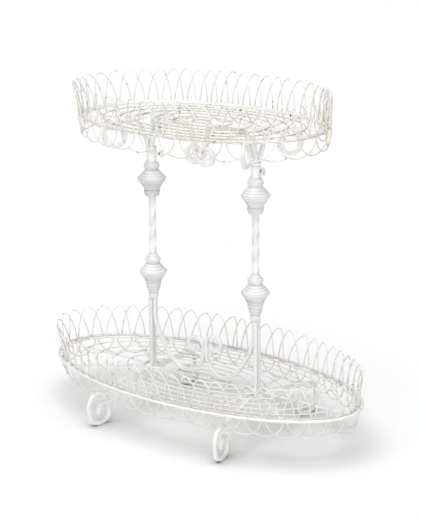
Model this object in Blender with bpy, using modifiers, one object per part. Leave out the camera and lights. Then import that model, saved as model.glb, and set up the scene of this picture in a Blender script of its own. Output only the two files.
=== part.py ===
"""Two-tier oval wire display stand, in metres, standing on z = 0.

X runs along the ovals and through both posts, and the front is at -Y.
"""

import math

import bmesh
import bpy
import numpy as np
from mathutils import Matrix, Vector

# Fits
CLEARANCE = 0.0003
OVERRUN = 0.002
WELD_DISTANCE = 0.00001

# Wire and bar stock
RIM_RADIUS = 0.003
FLOOR_RING_RADIUS = 0.002
WIRE_RADIUS = 0.0012
BAR_SIDE = 0.0062
FLAT_BAR_WIDTH = 0.007
FLAT_BAR_THICKNESS = 0.0025

# Ovals, measured to the centre of the rim's wire
LOWER_HALF_LENGTH = 0.3492
LOWER_HALF_DEPTH = 0.1686
LOWER_ROUND_SHARE = 1.0
LOWER_RIM_HEIGHT = 0.0924
UPPER_HALF_LENGTH = 0.2485
UPPER_HALF_DEPTH = 0.1592
UPPER_ROUND_SHARE = 0.87
RIM_POINTS = 60
FLOOR_RING_POINTS = 48
TABLE_STEPS = 1440

# Arches above the rims, and scallops below them
ARCH_HEIGHT = 0.063
ARCH_FLARE = 0.0125
ARCH_POINT_SHARE = 1.48
ARCH_REACH_SHARE = 0.875
ARCH_ANGLES = (-90, -54, -24, 0, 24, 54, 90)
LOWER_ARCH_COUNT = 56
UPPER_ARCH_COUNT = 50
SCALLOP_DEPTH = 0.034
SCALLOP_TUCK = 0.004
SCALLOP_POINT_SHARE = 1.0
SCALLOP_REACH_SHARE = 0.915
SCALLOP_ANGLES = (-90, -50, -17, 17, 50, 90)
LOWER_END_SCALLOPS = 13
LOWER_SIDE_SCALLOPS = 7
UPPER_SCALLOP_COUNT = 30

# Floors
OVALS_INSIDE_COUNT = 3
LOWER_OVALS_OUTSIDE_COUNT = 5
UPPER_OVALS_OUTSIDE_COUNT = 3
OVAL_POINTS = 18
OVAL_POINTS_MORE = 3
HUB_RING_WIDTH = 0.0050
UPPER_HUB_RADIUS = 0.0195
DIAGONAL_BEARING = 37

# Posts
POST_X = 0.1235
LATHE_STEPS = 16
LEG_TOP = 0.2290
COLLAR_RADIUS = 0.0095
COLLAR_HEIGHT = 0.0112
LOWER_BOSS_HEIGHT = 0.0815
LOWER_BOSS_RADIUS = 0.0275
TWISTED_BAR_LENGTH = 0.1110
TWISTED_BAR_SIDE = 0.0106
TWISTED_BAR_TURNS = 0.77
TWISTED_BAR_STEPS = 10
UPPER_BOSS_HEIGHT = 0.0717
UPPER_BOSS_RADIUS = 0.0278
TUBE_HEIGHT = 0.0236
TUBE_RADIUS = 0.0095
TUBE_WALL = 0.0022
PEG_DEPTH = 0.040
PEG_SHOULDER_RADIUS = 0.0102
PEG_SHOULDER_HEIGHT = 0.0060

# Thumb screws
SCREW_BELOW_TUBE_TOP = 0.0088
SCREW_EXPOSED = 0.0030
SCREW_SIDES = 12
SCREW_IN_WING = 0.0040
SCREW_RADIUS = 0.0024
SCREW_BORE_RADIUS = 0.0027
CLAMP_BOSS_RADIUS = 0.0044
CLAMP_BOSS_LENGTH = 0.0038
WING_BARREL_RADIUS = 0.0034
WING_BARREL_LENGTH = 0.0062
WING_LENGTH = 0.0086
WING_REACH = 0.0072
WING_THICKNESS = 0.0022
LEFT_SCREW_BEARING = 35
RIGHT_SCREW_BEARING = -8

# Legs, feet and scrolls
ELBOW_RADIUS = 0.014
ELBOW_EASE = 0.001
ELBOW_STEPS = 3
LOWER_FOOT_X = 0.1487
LOWER_FOOT_Y = 0.1425
LOWER_FOOT_TOP = 0.0645
UPPER_FOOT_X = 0.154
UPPER_FOOT_Y = 0.073
UPPER_FOOT_DROP = 0.060
FILED_DEPTH = 0.0004
SPLAY_WIDTH = 0.040
SPLAY_HEIGHT = 0.0547
LOWER_SCROLL_RISE = 0.0005
LOWER_SCROLL_MIDDLE_X = 0.0022
LEFT_CURL_SHARE = 0.925
RIGHT_CURL_SHARE = 1.0
UPPER_DROP_X = 0.0150
UPPER_DROP_DEPTH = 0.0638
UPPER_RING_RADIUS = 0.0162
UPPER_RING_X = 0.0172
UPPER_RING_DROP = 0.068
UPPER_SCROLL_MIDDLE_X = -0.0045
UPPER_RING_ANGLES = range(-65, -351, -25)

# Outlines: (outward, up) in shares of the foot's height
LOWER_FOOT_SHARES = (
    (0.075, 1.0),
    (0.334, 0.894),
    (0.446, 0.552),
    (0.375, 0.150),
    (0.090, 0.0),
    (-0.090, 0.0),
    (-0.333, 0.110),
    (-0.386, 0.357),
    (-0.277, 0.578),
    (-0.106, 0.634),
    (0.040, 0.513),
    (0.065, 0.325),
)

UPPER_FOOT_SHARES = (
    (0.075, 1.0),
    (0.350, 0.905),
    (0.480, 0.560),
    (0.400, 0.180),
    (0.110, 0.0),
    (-0.110, 0.0),
    (-0.390, 0.150),
    (-0.490, 0.430),
    (-0.440, 0.680),
    (-0.290, 0.800),
    (-0.130, 0.790),
)

# (outward, up) in shares of the way from the middle to the post, and from the floor to the leg's top
LOWER_SWEEP_SHARES = (
    (1.0, 1.0),
    (1.0, 0.700),
    (0.945, 0.537),
    (0.844, 0.365),
    (0.662, 0.140),
    (0.489, 0.022),
    (0.316, 0.0),
)
LOWER_CURL_SHARES = (
    (0.143, 0.070),
    (0.022, 0.200),
    (0.0, 0.335),
    (0.0, 0.470),
    (0.044, 0.566),
    (0.151, 0.600),
    (0.258, 0.566),
    (0.302, 0.485),
    (0.258, 0.412),
    (0.168, 0.385),
    (0.098, 0.420),
    (0.094, 0.490),
)

# (outward, up) in shares of the splay's width, and of the way from the peg to the floor frame
SPLAY_SHARES = (
    (0.0, 0.0),
    (0.0, 0.06),
    (0.06, 0.22),
    (0.20, 0.50),
    (0.40, 0.80),
    (0.68, 0.96),
    (1.0, 1.0),
)

# (outward, down) in shares of the drop's distance from the middle, and of its height
UPPER_DROP_SHARES = (
    (2.0, 0.0),
    (1.25, 0.10),
    (1.0, 0.30),
    (0.80, 0.62),
    (0.27, 1.0),
)

# (radius, up from the bottom) in shares of the piece's radius and height
COLLAR_SHARES = (
    (0.0, 1.0),
    (0.92, 1.0),
    (1.0, 0.88),
    (1.0, 0.35),
    (0.93, 0.0),
    (0.0, 0.0),
)
LOWER_BOSS_SHARES = (
    (0.0, 1.0),
    (0.255, 1.0),
    (0.365, 0.935),
    (0.460, 0.895),
    (0.553, 0.830),
    (0.520, 0.785),
    (0.437, 0.752),
    (0.700, 0.672),
    (0.968, 0.562),
    (1.0, 0.547),
    (0.964, 0.529),
    (0.740, 0.425),
    (0.506, 0.303),
    (0.553, 0.236),
    (0.484, 0.174),
    (0.437, 0.110),
    (0.346, 0.030),
    (0.335, 0.0),
    (0.0, 0.0),
)
UPPER_BOSS_SHARES = (
    (0.342, 1.0),
    (0.460, 0.941),
    (0.554, 0.895),
    (0.530, 0.851),
    (0.478, 0.822),
    (0.720, 0.702),
    (0.971, 0.572),
    (1.0, 0.558),
    (0.968, 0.541),
    (0.740, 0.420),
    (0.500, 0.275),
    (0.575, 0.209),
    (0.500, 0.128),
    (0.380, 0.060),
    (0.273, 0.0),
    (0.0, 0.0),
)

# (along, across) in shares of the wings' length and reach
WING_SHARES = (
    (0.15, 0.25),
    (0.0, 0.85),
    (0.20, 1.0),
    (0.80, 1.0),
    (1.0, 0.85),
    (0.80, 0.25),
)


def levels_of(rim_height):
    """Heights that follow from a rim: the floor's underside, and the frame under it."""
    underside = rim_height - RIM_RADIUS
    frame_top = underside - CLEARANCE
    return underside, frame_top, frame_top - FLAT_BAR_THICKNESS


LOWER_FLOOR, LOWER_FRAME_TOP, LOWER_FRAME_BOTTOM = levels_of(LOWER_RIM_HEIGHT)
ELBOW_LEVEL = LOWER_FRAME_BOTTOM - CLEARANCE - BAR_SIDE / 2 - ELBOW_EASE
COLLAR_BOTTOM = LEG_TOP + CLEARANCE
LOWER_BOSS_BOTTOM = COLLAR_BOTTOM + COLLAR_HEIGHT + CLEARANCE
TWISTED_BAR_BOTTOM = LOWER_BOSS_BOTTOM + LOWER_BOSS_HEIGHT + CLEARANCE
UPPER_BOSS_BOTTOM = TWISTED_BAR_BOTTOM + TWISTED_BAR_LENGTH + CLEARANCE
TUBE_BOTTOM = UPPER_BOSS_BOTTOM + UPPER_BOSS_HEIGHT + CLEARANCE
TUBE_TOP = TUBE_BOTTOM + TUBE_HEIGHT
TUBE_BORE_RADIUS = TUBE_RADIUS - TUBE_WALL
PEG_RADIUS = TUBE_BORE_RADIUS - CLEARANCE
PEG_SHOULDER_BOTTOM = TUBE_TOP + CLEARANCE
PEG_TOP = PEG_SHOULDER_BOTTOM + PEG_SHOULDER_HEIGHT
PEG_BOTTOM = PEG_SHOULDER_BOTTOM - PEG_DEPTH
SOCKET_BOTTOM = PEG_BOTTOM - OVERRUN
UPPER_LEG_BOTTOM = PEG_TOP + CLEARANCE
UPPER_BAR_LEVEL = UPPER_LEG_BOTTOM + SPLAY_HEIGHT
UPPER_FRAME_BOTTOM = UPPER_BAR_LEVEL + BAR_SIDE / 2 + CLEARANCE
UPPER_FRAME_TOP = UPPER_FRAME_BOTTOM + FLAT_BAR_THICKNESS
UPPER_RIM_HEIGHT = UPPER_FRAME_TOP + CLEARANCE + RIM_RADIUS
UPPER_FOOT_BOTTOM = UPPER_RIM_HEIGHT - UPPER_FOOT_DROP
UPPER_RING_HEIGHT = UPPER_RIM_HEIGHT - UPPER_RING_DROP
SCREW_HEIGHT = TUBE_TOP - SCREW_BELOW_TUBE_TOP
CLAMP_BOSS_END = TUBE_RADIUS + CLEARANCE + CLAMP_BOSS_LENGTH
WING_START = CLAMP_BOSS_END + SCREW_EXPOSED

# The lengths of wire that the arches are bent from, round from the +X end
LOWER_ARCH_LENGTHS = ("right_", "rear_", "left_", "front_")
UPPER_ARCH_LENGTHS = ("",)

SIDES = (("left", -1), ("right", 1))
ENDS = (("front", -1), ("rear", 1))


def clear_scene():
    for existing in list(bpy.data.objects):
        bpy.data.objects.remove(existing, do_unlink=True)


def new_collection(name):
    collection = bpy.data.collections.new(name)
    bpy.context.scene.collection.children.link(collection)
    return collection


clear_scene()
STAND = new_collection("wire_display_stand")
CUTTERS = new_collection("cutters")


def paint(name, colour, roughness, metallic):
    material = bpy.data.materials.new(name)
    material.use_nodes = True
    shader = material.node_tree.nodes["Principled BSDF"]
    shader.inputs["Base Color"].default_value = (*colour, 1.0)
    shader.inputs["Roughness"].default_value = roughness
    shader.inputs["Metallic"].default_value = metallic
    return material


LOWER_WIRE_PAINT = paint("lower_wire_paint", (0.80, 0.79, 0.76), 0.55, 0.0)
UPPER_WIRE_PAINT = paint("upper_wire_paint", (0.80, 0.76, 0.70), 0.6, 0.0)
BAR_PAINT = paint("bar_paint", (0.82, 0.82, 0.81), 0.5, 0.0)
CASTING_PAINT = paint("casting_paint", (0.84, 0.84, 0.84), 0.45, 0.0)
SCREW_METAL = paint("screw_metal", (0.55, 0.53, 0.50), 0.4, 0.8)


def add_piece(name, data, material, matrix=None):
    piece = bpy.data.objects.new(name, data)
    piece.matrix_world = matrix or Matrix()
    data.materials.append(material)
    STAND.objects.link(piece)
    return piece


def add_cutter(name, mesh, matrix=None):
    cutter = bpy.data.objects.new(name, mesh)
    cutter.matrix_world = matrix or Matrix()
    cutter.hide_render = True
    cutter.display_type = "WIRE"
    CUTTERS.objects.link(cutter)
    return cutter


def boolean(piece, cutter, operation="DIFFERENCE", use_self=False):
    modifier = piece.modifiers.new(f"{operation.lower()} {cutter.name}", "BOOLEAN")
    modifier.operation = operation
    modifier.object = cutter
    modifier.solver = "EXACT"
    modifier.use_self = use_self


def curve_data(name, points, radius, extra_sides, closed, twist):
    """A round wire with 4 sides and any extra ones, its radius measured to its corners."""
    curve = bpy.data.curves.new(name, "CURVE")
    curve.dimensions = "3D"
    curve.twist_mode = twist
    curve.bevel_depth = radius
    curve.bevel_resolution = extra_sides // 2
    curve.use_fill_caps = not closed
    spline = curve.splines.new("POLY")
    spline.points.add(len(points) - 1)
    spline.points.foreach_set("co", [value for point in points for value in (*point, 1.0)])
    spline.use_cyclic_u = closed
    return curve


def wire(name, points, radius, material, extra_sides=0, twist="Z_UP", closed=True):
    return add_piece(name, curve_data(name, points, radius, extra_sides, closed, twist), material)


def smooth(points):
    """The same run with a point between each two, on a Catmull-Rom curve through them all."""
    ends = [points[0], *points, points[-1]]
    refined = []
    for before, start, end, after in zip(ends, ends[1:], ends[2:], ends[3:]):
        middle = tuple(
            (9 * (b + c) - a - d) / 16 for a, b, c, d in zip(before, start, end, after)
        )
        refined += [start, middle]
    return [*refined, points[-1]]


def square_bar(name, outline, origin, bearing, foot_bottom=None):
    """A square bar along an (outward, height) outline, in the upright plane at this bearing.

    A bar with a foot is filed flat where the foot stands.
    """
    points = [(outward, height, 0.0) for outward, height in outline]
    curve = curve_data(name, points, BAR_SIDE / math.sqrt(2), 0, False, "Z_UP")
    curve.splines[0].use_smooth = False
    for point in curve.splines[0].points:
        point.tilt = math.radians(45)
    outward = Vector((math.cos(bearing), math.sin(bearing), 0.0))
    up = Vector((0.0, 0.0, 1.0))
    axes = Matrix((outward, up, outward.cross(up))).transposed().to_4x4()
    matrix = Matrix.Translation((*origin, 0.0)) @ axes
    bar = add_piece(name, curve, BAR_PAINT, matrix)
    if foot_bottom is None:
        return bar
    mesh = mesh_of(bar)
    for vertex in mesh.vertices:
        if abs(vertex.co.y - foot_bottom) < FILED_DEPTH:
            vertex.co.y = foot_bottom
    return add_piece(name, mesh, BAR_PAINT, matrix)


def mesh_of(piece):
    """The mesh of a curve object with its caps welded on; the curve object is removed."""
    name = piece.name
    graph = bpy.context.evaluated_depsgraph_get()
    mesh = bpy.data.meshes.new_from_object(piece.evaluated_get(graph))
    bpy.data.objects.remove(piece, do_unlink=True)
    mesh.name = name
    mesh.materials.clear()
    body = bmesh.new()
    body.from_mesh(mesh)
    bmesh.ops.remove_doubles(body, verts=body.verts, dist=WELD_DISTANCE)
    body.to_mesh(mesh)
    body.free()
    return mesh


def mesh_from(body, name):
    mesh = bpy.data.meshes.new(name)
    body.to_mesh(mesh)
    body.free()
    return mesh


def screw_matrix(side, bearing):
    """From a frame whose X runs out along a thumb screw, with its origin on the post's axis."""
    place = Matrix.Translation((side * POST_X, 0.0, SCREW_HEIGHT))
    return place @ Matrix.Rotation(bearing, 4, "Z")


def rod_mesh(name, radius, start, end):
    """A round rod along X."""
    body = bmesh.new()
    bmesh.ops.create_cone(
        body,
        cap_ends=True,
        segments=SCREW_SIDES,
        radius1=radius,
        radius2=radius,
        depth=end - start,
        matrix=Matrix.Translation(((start + end) / 2, 0.0, 0.0))
        @ Matrix.Rotation(math.pi / 2, 4, "Y"),
    )
    return mesh_from(body, name)


def turned(name, profile, x, material):
    """A lathe-turned piece round an upright axis, its outer side running from top to bottom.

    A profile that keeps clear of the axis is closed, and makes a ring.
    """
    mesh = bpy.data.meshes.new(name)
    points = [(radius, 0.0, height) for radius, height in profile]
    edges = [(index, index + 1) for index in range(len(points) - 1)]
    if points[0][0] > 0:
        edges.append((len(points) - 1, 0))
    mesh.from_pydata(points, edges, [])
    piece = add_piece(name, mesh, material, Matrix.Translation((x, 0.0, 0.0)))
    lathe = piece.modifiers.new("lathe", "SCREW")
    lathe.steps = LATHE_STEPS
    lathe.render_steps = LATHE_STEPS
    lathe.use_merge_vertices = True
    lathe.merge_threshold = WELD_DISTANCE
    lathe.use_smooth_shade = True
    return piece


def scaled_profile(shares, radius, height, bottom):
    return [(radius * across, bottom + height * up) for across, up in shares]


def signed_power(value, power):
    return math.copysign(abs(value) ** power, value)


# How far the two sides of a looped wire lie apart, so that one passes the other where loops cross
STRAND_SPREAD = 2 * SCALLOP_REACH_SHARE * (2 * WIRE_RADIUS + CLEARANCE)


class Oval:
    """The oval of a rim's centre line, with points placed by distance along it and inset from it.

    Its looped wires are welded inside the rim or outside of it.
    """

    def __init__(self, half_length, half_depth, round_share, wires_inside=True):
        self.half_length = half_length
        self.half_depth = half_depth
        self.round_share = round_share
        facet_depth = half_length * (1 - math.cos(math.pi / RIM_POINTS))
        strands = STRAND_SPREAD / 2 + WIRE_RADIUS + CLEARANCE
        if wires_inside:
            self.strand_inset = facet_depth + RIM_RADIUS + strands
            self.ring_inset = self.strand_inset + strands + FLOOR_RING_RADIUS
        else:
            self.strand_inset = -RIM_RADIUS - strands
            self.ring_inset = facet_depth + RIM_RADIUS + CLEARANCE + FLOOR_RING_RADIUS
        self.bar_end_inset = self.ring_inset + FLOOR_RING_RADIUS / 2
        self.angles = np.linspace(0, math.tau, TABLE_STEPS + 1)
        places = np.array([self.place(angle, 0) for angle in self.angles])
        steps = np.hypot(*np.diff(places, axis=0).T)
        self.lengths = np.concatenate([[0], np.cumsum(steps)])
        self.perimeter = self.lengths[-1]

    def place(self, angle, inset):
        cosine, sine = math.cos(angle), math.sin(angle)
        x = self.half_length * signed_power(cosine, self.round_share)
        y = self.half_depth * signed_power(sine, self.round_share)
        normal = Vector(
            (
                signed_power(cosine, 2 - self.round_share) / self.half_length,
                signed_power(sine, 2 - self.round_share) / self.half_depth,
            )
        ).normalized()
        return x - inset * normal.x, y - inset * normal.y

    def at(self, length, inset):
        angle = np.interp(length % self.perimeter, self.lengths, self.angles)
        return self.place(angle, inset)

    def ring(self, count, inset, height):
        """A level ring of points, closest together where the oval bends most."""
        turns = [math.tau * index / count for index in range(count)]
        return [(*self.place(angle, inset), height) for angle in turns]

    def evenly(self, count):
        return [self.perimeter * index / count for index in range(count)]

    def crossing(self, origin, bearing, inset):
        """Where a line from inside the oval crosses it: how far out, and how far round."""
        places = np.array([self.place(angle, inset) for angle in self.angles[:-1]])
        away = places - np.array(origin)
        turn = np.mod(np.arctan2(away[:, 1], away[:, 0]) - bearing + math.pi, math.tau)
        order = np.argsort(turn)
        distance = np.interp(math.pi, turn[order], np.hypot(*away.T)[order])
        length = np.interp(math.pi, turn[order], self.lengths[:-1][order])
        return distance, length


LOWER_OVAL = Oval(LOWER_HALF_LENGTH, LOWER_HALF_DEPTH, LOWER_ROUND_SHARE)
UPPER_OVAL = Oval(UPPER_HALF_LENGTH, UPPER_HALF_DEPTH, UPPER_ROUND_SHARE, wires_inside=False)


def loops(oval, stations, span, level, rise, point_share, reach_share, lean, angles):
    """One wire that loops at each station of a span, its feet past those of the loops beside it.

    Where two loops cross, one side of each lies inward of the other.
    """
    points = []
    for index in span:
        station = stations[index % len(stations)]
        before = (station - stations[(index - 1) % len(stations)]) % oval.perimeter
        after = (stations[(index + 1) % len(stations)] - station) % oval.perimeter
        for degrees in angles:
            angle = math.radians(degrees)
            pitch = before if degrees < 0 else after
            along = station + reach_share * pitch * math.sin(angle)
            height_share = max(math.cos(angle), 0.0) ** point_share
            inset = (
                oval.strand_inset
                - STRAND_SPREAD / 2 * math.sin(angle)
                - lean * height_share**2
            )
            x, y = oval.at(along, inset)
            points.append((x, y, level + rise * height_share))
    return points


def arches(tier, oval, rim_height, count, lengths, material):
    """Arches above a rim, in one closed length of wire or in several open ones."""
    level = rim_height + WIRE_RADIUS + CLEARANCE / 2
    share = count // len(lengths)
    for place, length_name in enumerate(lengths):
        first = place * share - share // 2
        points = loops(
            oval, oval.evenly(count), range(first, first + share), level, ARCH_HEIGHT,
            ARCH_POINT_SHARE, ARCH_REACH_SHARE, ARCH_FLARE, ARCH_ANGLES,
        )
        name = f"{tier}_{length_name}arches"
        wire(name, points, WIRE_RADIUS, material, twist="MINIMUM", closed=len(lengths) == 1)


def scallops(tier, oval, rim_height, stations, material):
    level = rim_height - WIRE_RADIUS - CLEARANCE / 2
    points = loops(
        oval, stations, range(len(stations)), level, -SCALLOP_DEPTH, SCALLOP_POINT_SHARE,
        SCALLOP_REACH_SHARE, -SCALLOP_TUCK, SCALLOP_ANGLES,
    )
    wire(f"{tier}_scallops", points, WIRE_RADIUS, material, twist="MINIMUM")


def lower_scallop_stations():
    """Scallops spaced so that each foot's bar passes under the middle of one."""
    start, bearing = leg_start(1, 1, LOWER_FOOT_X, LOWER_FOOT_Y)
    corner = LOWER_OVAL.crossing(start, bearing, LOWER_OVAL.strand_inset)[1]
    half = LOWER_OVAL.perimeter / 2
    stations = []
    for turn in (0, half):
        end_pitch = 2 * corner / LOWER_END_SCALLOPS
        side_pitch = (half - 2 * corner) / LOWER_SIDE_SCALLOPS
        stations += [turn - corner + end_pitch * step for step in range(LOWER_END_SCALLOPS)]
        stations += [turn + corner + side_pitch * step for step in range(LOWER_SIDE_SCALLOPS)]
    return stations


def rim(tier, oval, rim_height, material):
    points = oval.ring(RIM_POINTS, 0.0, rim_height)
    wire(f"{tier}_rim", points, RIM_RADIUS, material, extra_sides=2)


def floor_ring(tier, oval, underside, material):
    height = underside + FLOOR_RING_RADIUS
    points = oval.ring(FLOOR_RING_POINTS, oval.ring_inset, height)
    wire(f"{tier}_floor_ring", points, FLOOR_RING_RADIUS, material)


def floor_ovals(tier, oval, underside, outside_count, material):
    """Ovals of one shape, spaced so that each post stands midway between two of them."""
    outer_length = oval.half_length - oval.ring_inset
    outer_depth = oval.half_depth - oval.ring_inset
    inner_spacing = POST_X / OVALS_INSIDE_COUNT
    outer_spacing = (outer_length - POST_X) / (outside_count + 1 / 2)
    half_lengths = [inner_spacing * (step + 1 / 2) for step in range(OVALS_INSIDE_COUNT)]
    half_lengths += [POST_X + outer_spacing * (step + 1 / 2) for step in range(outside_count)]
    for index, half_length in enumerate(half_lengths):
        half_depth = half_length * outer_depth / outer_length
        inner = Oval(half_length, half_depth, oval.round_share)
        count = OVAL_POINTS + OVAL_POINTS_MORE * index
        points = inner.ring(count, 0.0, underside + WIRE_RADIUS)
        wire(f"{tier}_floor_oval_{index + 1}", points, WIRE_RADIUS, material)


def flat_bar(body, start, bearing, length, top):
    """Adds one flat bar with its top face at this height."""
    body_matrix = (
        Matrix.Translation((*start, top - FLAT_BAR_THICKNESS / 2))
        @ Matrix.Rotation(bearing, 4, "Z")
        @ Matrix.Translation((length / 2, 0.0, 0.0))
        @ Matrix.Diagonal((length, FLAT_BAR_WIDTH, FLAT_BAR_THICKNESS, 1.0))
    )
    bmesh.ops.create_cube(body, size=1.0, matrix=body_matrix)


def discs(name, radius, centre, depth):
    body = bmesh.new()
    for _, side in SIDES:
        bmesh.ops.create_cone(
            body,
            cap_ends=True,
            segments=LATHE_STEPS,
            radius1=radius,
            radius2=radius,
            depth=depth,
            matrix=Matrix.Translation((side * POST_X, 0.0, centre)),
        )
    return add_cutter(name, mesh_from(body, name))


def floor_frame(tier, oval, top, hub_radius, hub_bore):
    """Flat bars that meet at each post, welded into one piece with a plate round the post."""
    body = bmesh.new()
    flat_bar(body, (-POST_X, 0.0), 0.0, 2 * POST_X, top)
    diagonal = math.radians(DIAGONAL_BEARING)
    for _, side in SIDES:
        for angle in (0.0, diagonal, -diagonal, math.pi / 2, -math.pi / 2):
            bearing = angle if side > 0 else math.pi - angle
            length, _ = oval.crossing((side * POST_X, 0.0), bearing, oval.bar_end_inset)
            flat_bar(body, (side * POST_X, 0.0), bearing, length, top)
    name = f"{tier}_floor_frame"
    frame = add_piece(name, mesh_from(body, name), BAR_PAINT)
    middle = top - FLAT_BAR_THICKNESS / 2
    plates = discs(f"{tier}_hub_plates", hub_radius, middle, FLAT_BAR_THICKNESS)
    boolean(frame, plates, "UNION", use_self=True)
    if hub_bore:
        depth = FLAT_BAR_THICKNESS + 2 * OVERRUN
        boolean(frame, discs(f"{tier}_hub_bores", hub_bore, middle, depth))


def leg_turn(foot_x, foot_y):
    """How far a leg's bearing turns from straight across the stand."""
    return math.atan2(foot_x - POST_X, foot_y)


def cluster_offsets(foot_x, foot_y):
    """How far the legs stand out from the post's axis, along X and along Y, to clear each other."""
    turn = leg_turn(foot_x, foot_y)
    half_span = BAR_SIDE / 2 * (math.cos(turn) + math.sin(turn))
    across = half_span + CLEARANCE / 2
    along = (half_span + BAR_SIDE / 2 + CLEARANCE) / 2
    return along, across, half_span


def leg_start(side, end, foot_x, foot_y):
    along, across, _ = cluster_offsets(foot_x, foot_y)
    start = (side * (POST_X + along), end * across)
    bearing = math.atan2(end * foot_y - start[1], side * foot_x - start[0])
    return start, bearing


def foot_outline(shares, centre, bottom, top):
    """A curled foot, from its top round the outside, under, up and in."""
    height = top - bottom
    outline = smooth([(centre + out * height, bottom + up * height) for out, up in shares])
    return [(out, max(up, bottom)) for out, up in outline]


def lower_hub_bore():
    """The radius that clears the legs where their elbows pass down through the floor frame."""
    along, across, half_span = cluster_offsets(LOWER_FOOT_X, LOWER_FOOT_Y)
    inside = ELBOW_RADIUS * math.cos(math.pi / 4 / ELBOW_STEPS) - BAR_SIDE / 2
    above = ELBOW_LEVEL + ELBOW_RADIUS - LOWER_FRAME_BOTTOM
    reach = ELBOW_RADIUS - math.sqrt(inside**2 - above**2)
    return math.hypot(along + half_span, across + reach) + 2 * CLEARANCE


def lower_leg(side_name, side, end_name, end):
    start, bearing = leg_start(side, end, LOWER_FOOT_X, LOWER_FOOT_Y)
    run = math.hypot(side * LOWER_FOOT_X - start[0], end * LOWER_FOOT_Y - start[1])
    outline = [(0.0, LEG_TOP)]
    for step in range(ELBOW_STEPS + 1):
        angle = math.pi / 2 * step / ELBOW_STEPS
        out = ELBOW_RADIUS * (1 - math.cos(angle))
        outline.append((out, ELBOW_LEVEL + ELBOW_RADIUS * (1 - math.sin(angle))))
    outline += foot_outline(LOWER_FOOT_SHARES, run, BAR_SIDE / 2, LOWER_FOOT_TOP)
    square_bar(f"lower_{side_name}_{end_name}_leg", outline, start, bearing, 0.0)


def upper_leg(side_name, side, end_name, end):
    start, bearing = leg_start(side, end, UPPER_FOOT_X, UPPER_FOOT_Y)
    run = math.hypot(side * UPPER_FOOT_X - start[0], end * UPPER_FOOT_Y - start[1])
    outline = splay()
    bottom = UPPER_FOOT_BOTTOM + BAR_SIDE / 2
    outline += foot_outline(UPPER_FOOT_SHARES, run, bottom, UPPER_BAR_LEVEL)
    name = f"upper_{side_name}_{end_name}_leg"
    square_bar(name, outline, start, bearing, UPPER_FOOT_BOTTOM)


def splay():
    """A bar that rises off the peg and leans out until it lies under the floor frame."""
    return [(SPLAY_WIDTH * out, UPPER_LEG_BOTTOM + SPLAY_HEIGHT * up) for out, up in SPLAY_SHARES]


def scroll_start(foot_x, foot_y):
    return POST_X - cluster_offsets(foot_x, foot_y)[0]


def lower_scroll(side_name, side, curl_share):
    """Sweeps down over the floor to the middle, rises beside its twin and curls back."""
    inner = (BAR_SIDE + CLEARANCE) / 2
    outer = scroll_start(LOWER_FOOT_X, LOWER_FOOT_Y)
    curl_inner = inner + side * LOWER_SCROLL_MIDDLE_X
    bottom = LOWER_FLOOR + 2 * WIRE_RADIUS + CLEARANCE + BAR_SIDE / 2 + LOWER_SCROLL_RISE
    rise = LEG_TOP - bottom
    points = [
        (inner + (outer - inner) * out, bottom + rise * up) for out, up in LOWER_SWEEP_SHARES
    ]
    points += [
        (curl_inner + (outer - inner) * out, bottom + rise * curl_share * up)
        for out, up in LOWER_CURL_SHARES
    ]
    outline = [(min(max(out, curl_inner), outer), height) for out, height in smooth(points)]
    bearing = 0.0 if side > 0 else math.pi
    square_bar(f"lower_{side_name}_scroll", outline, (0.0, 0.0), bearing)


def upper_scroll(side_name, side):
    """Runs in under the floor, drops past its twin in the middle and curls into a ring."""
    outer = scroll_start(UPPER_FOOT_X, UPPER_FOOT_Y)
    middle = side * UPPER_SCROLL_MIDDLE_X
    outline = [(outer - out, height) for out, height in splay()]
    drop = [
        (middle + UPPER_DROP_X * out, UPPER_BAR_LEVEL - UPPER_DROP_DEPTH * down)
        for out, down in UPPER_DROP_SHARES
    ]
    for degrees in UPPER_RING_ANGLES:
        angle = math.radians(degrees)
        out = middle - UPPER_RING_X + UPPER_RING_RADIUS * math.cos(angle)
        drop.append((out, UPPER_RING_HEIGHT + UPPER_RING_RADIUS * math.sin(angle)))
    bearing = 0.0 if side > 0 else math.pi
    plane = side * (BAR_SIDE + CLEARANCE) / 2
    square_bar(f"upper_{side_name}_scroll", outline + drop, (0.0, plane), bearing)


def twisted_bar(side_name, side):
    """A square bar twisted between the two bosses."""
    heights = np.linspace(0, TWISTED_BAR_LENGTH, TWISTED_BAR_STEPS + 1)
    points = [(0.0, height, 0.0) for height in heights]
    name = f"{side_name}_twisted_bar"
    curve = curve_data(name, points, TWISTED_BAR_SIDE / math.sqrt(2), 0, False, "Z_UP")
    curve.splines[0].use_smooth = False
    for point, height in zip(curve.splines[0].points, heights):
        point.tilt = math.tau * TWISTED_BAR_TURNS * height / TWISTED_BAR_LENGTH
    place = Matrix.Translation((side * POST_X, 0.0, TWISTED_BAR_BOTTOM))
    add_piece(name, curve, CASTING_PAINT, place @ Matrix.Rotation(math.pi / 2, 4, "X"))


def collar(side_name, side):
    profile = scaled_profile(COLLAR_SHARES, COLLAR_RADIUS, COLLAR_HEIGHT, COLLAR_BOTTOM)
    turned(f"{side_name}_collar", profile, side * POST_X, CASTING_PAINT)


def lower_boss(side_name, side):
    profile = scaled_profile(
        LOWER_BOSS_SHARES, LOWER_BOSS_RADIUS, LOWER_BOSS_HEIGHT, LOWER_BOSS_BOTTOM
    )
    turned(f"{side_name}_lower_boss", profile, side * POST_X, CASTING_PAINT)


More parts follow.
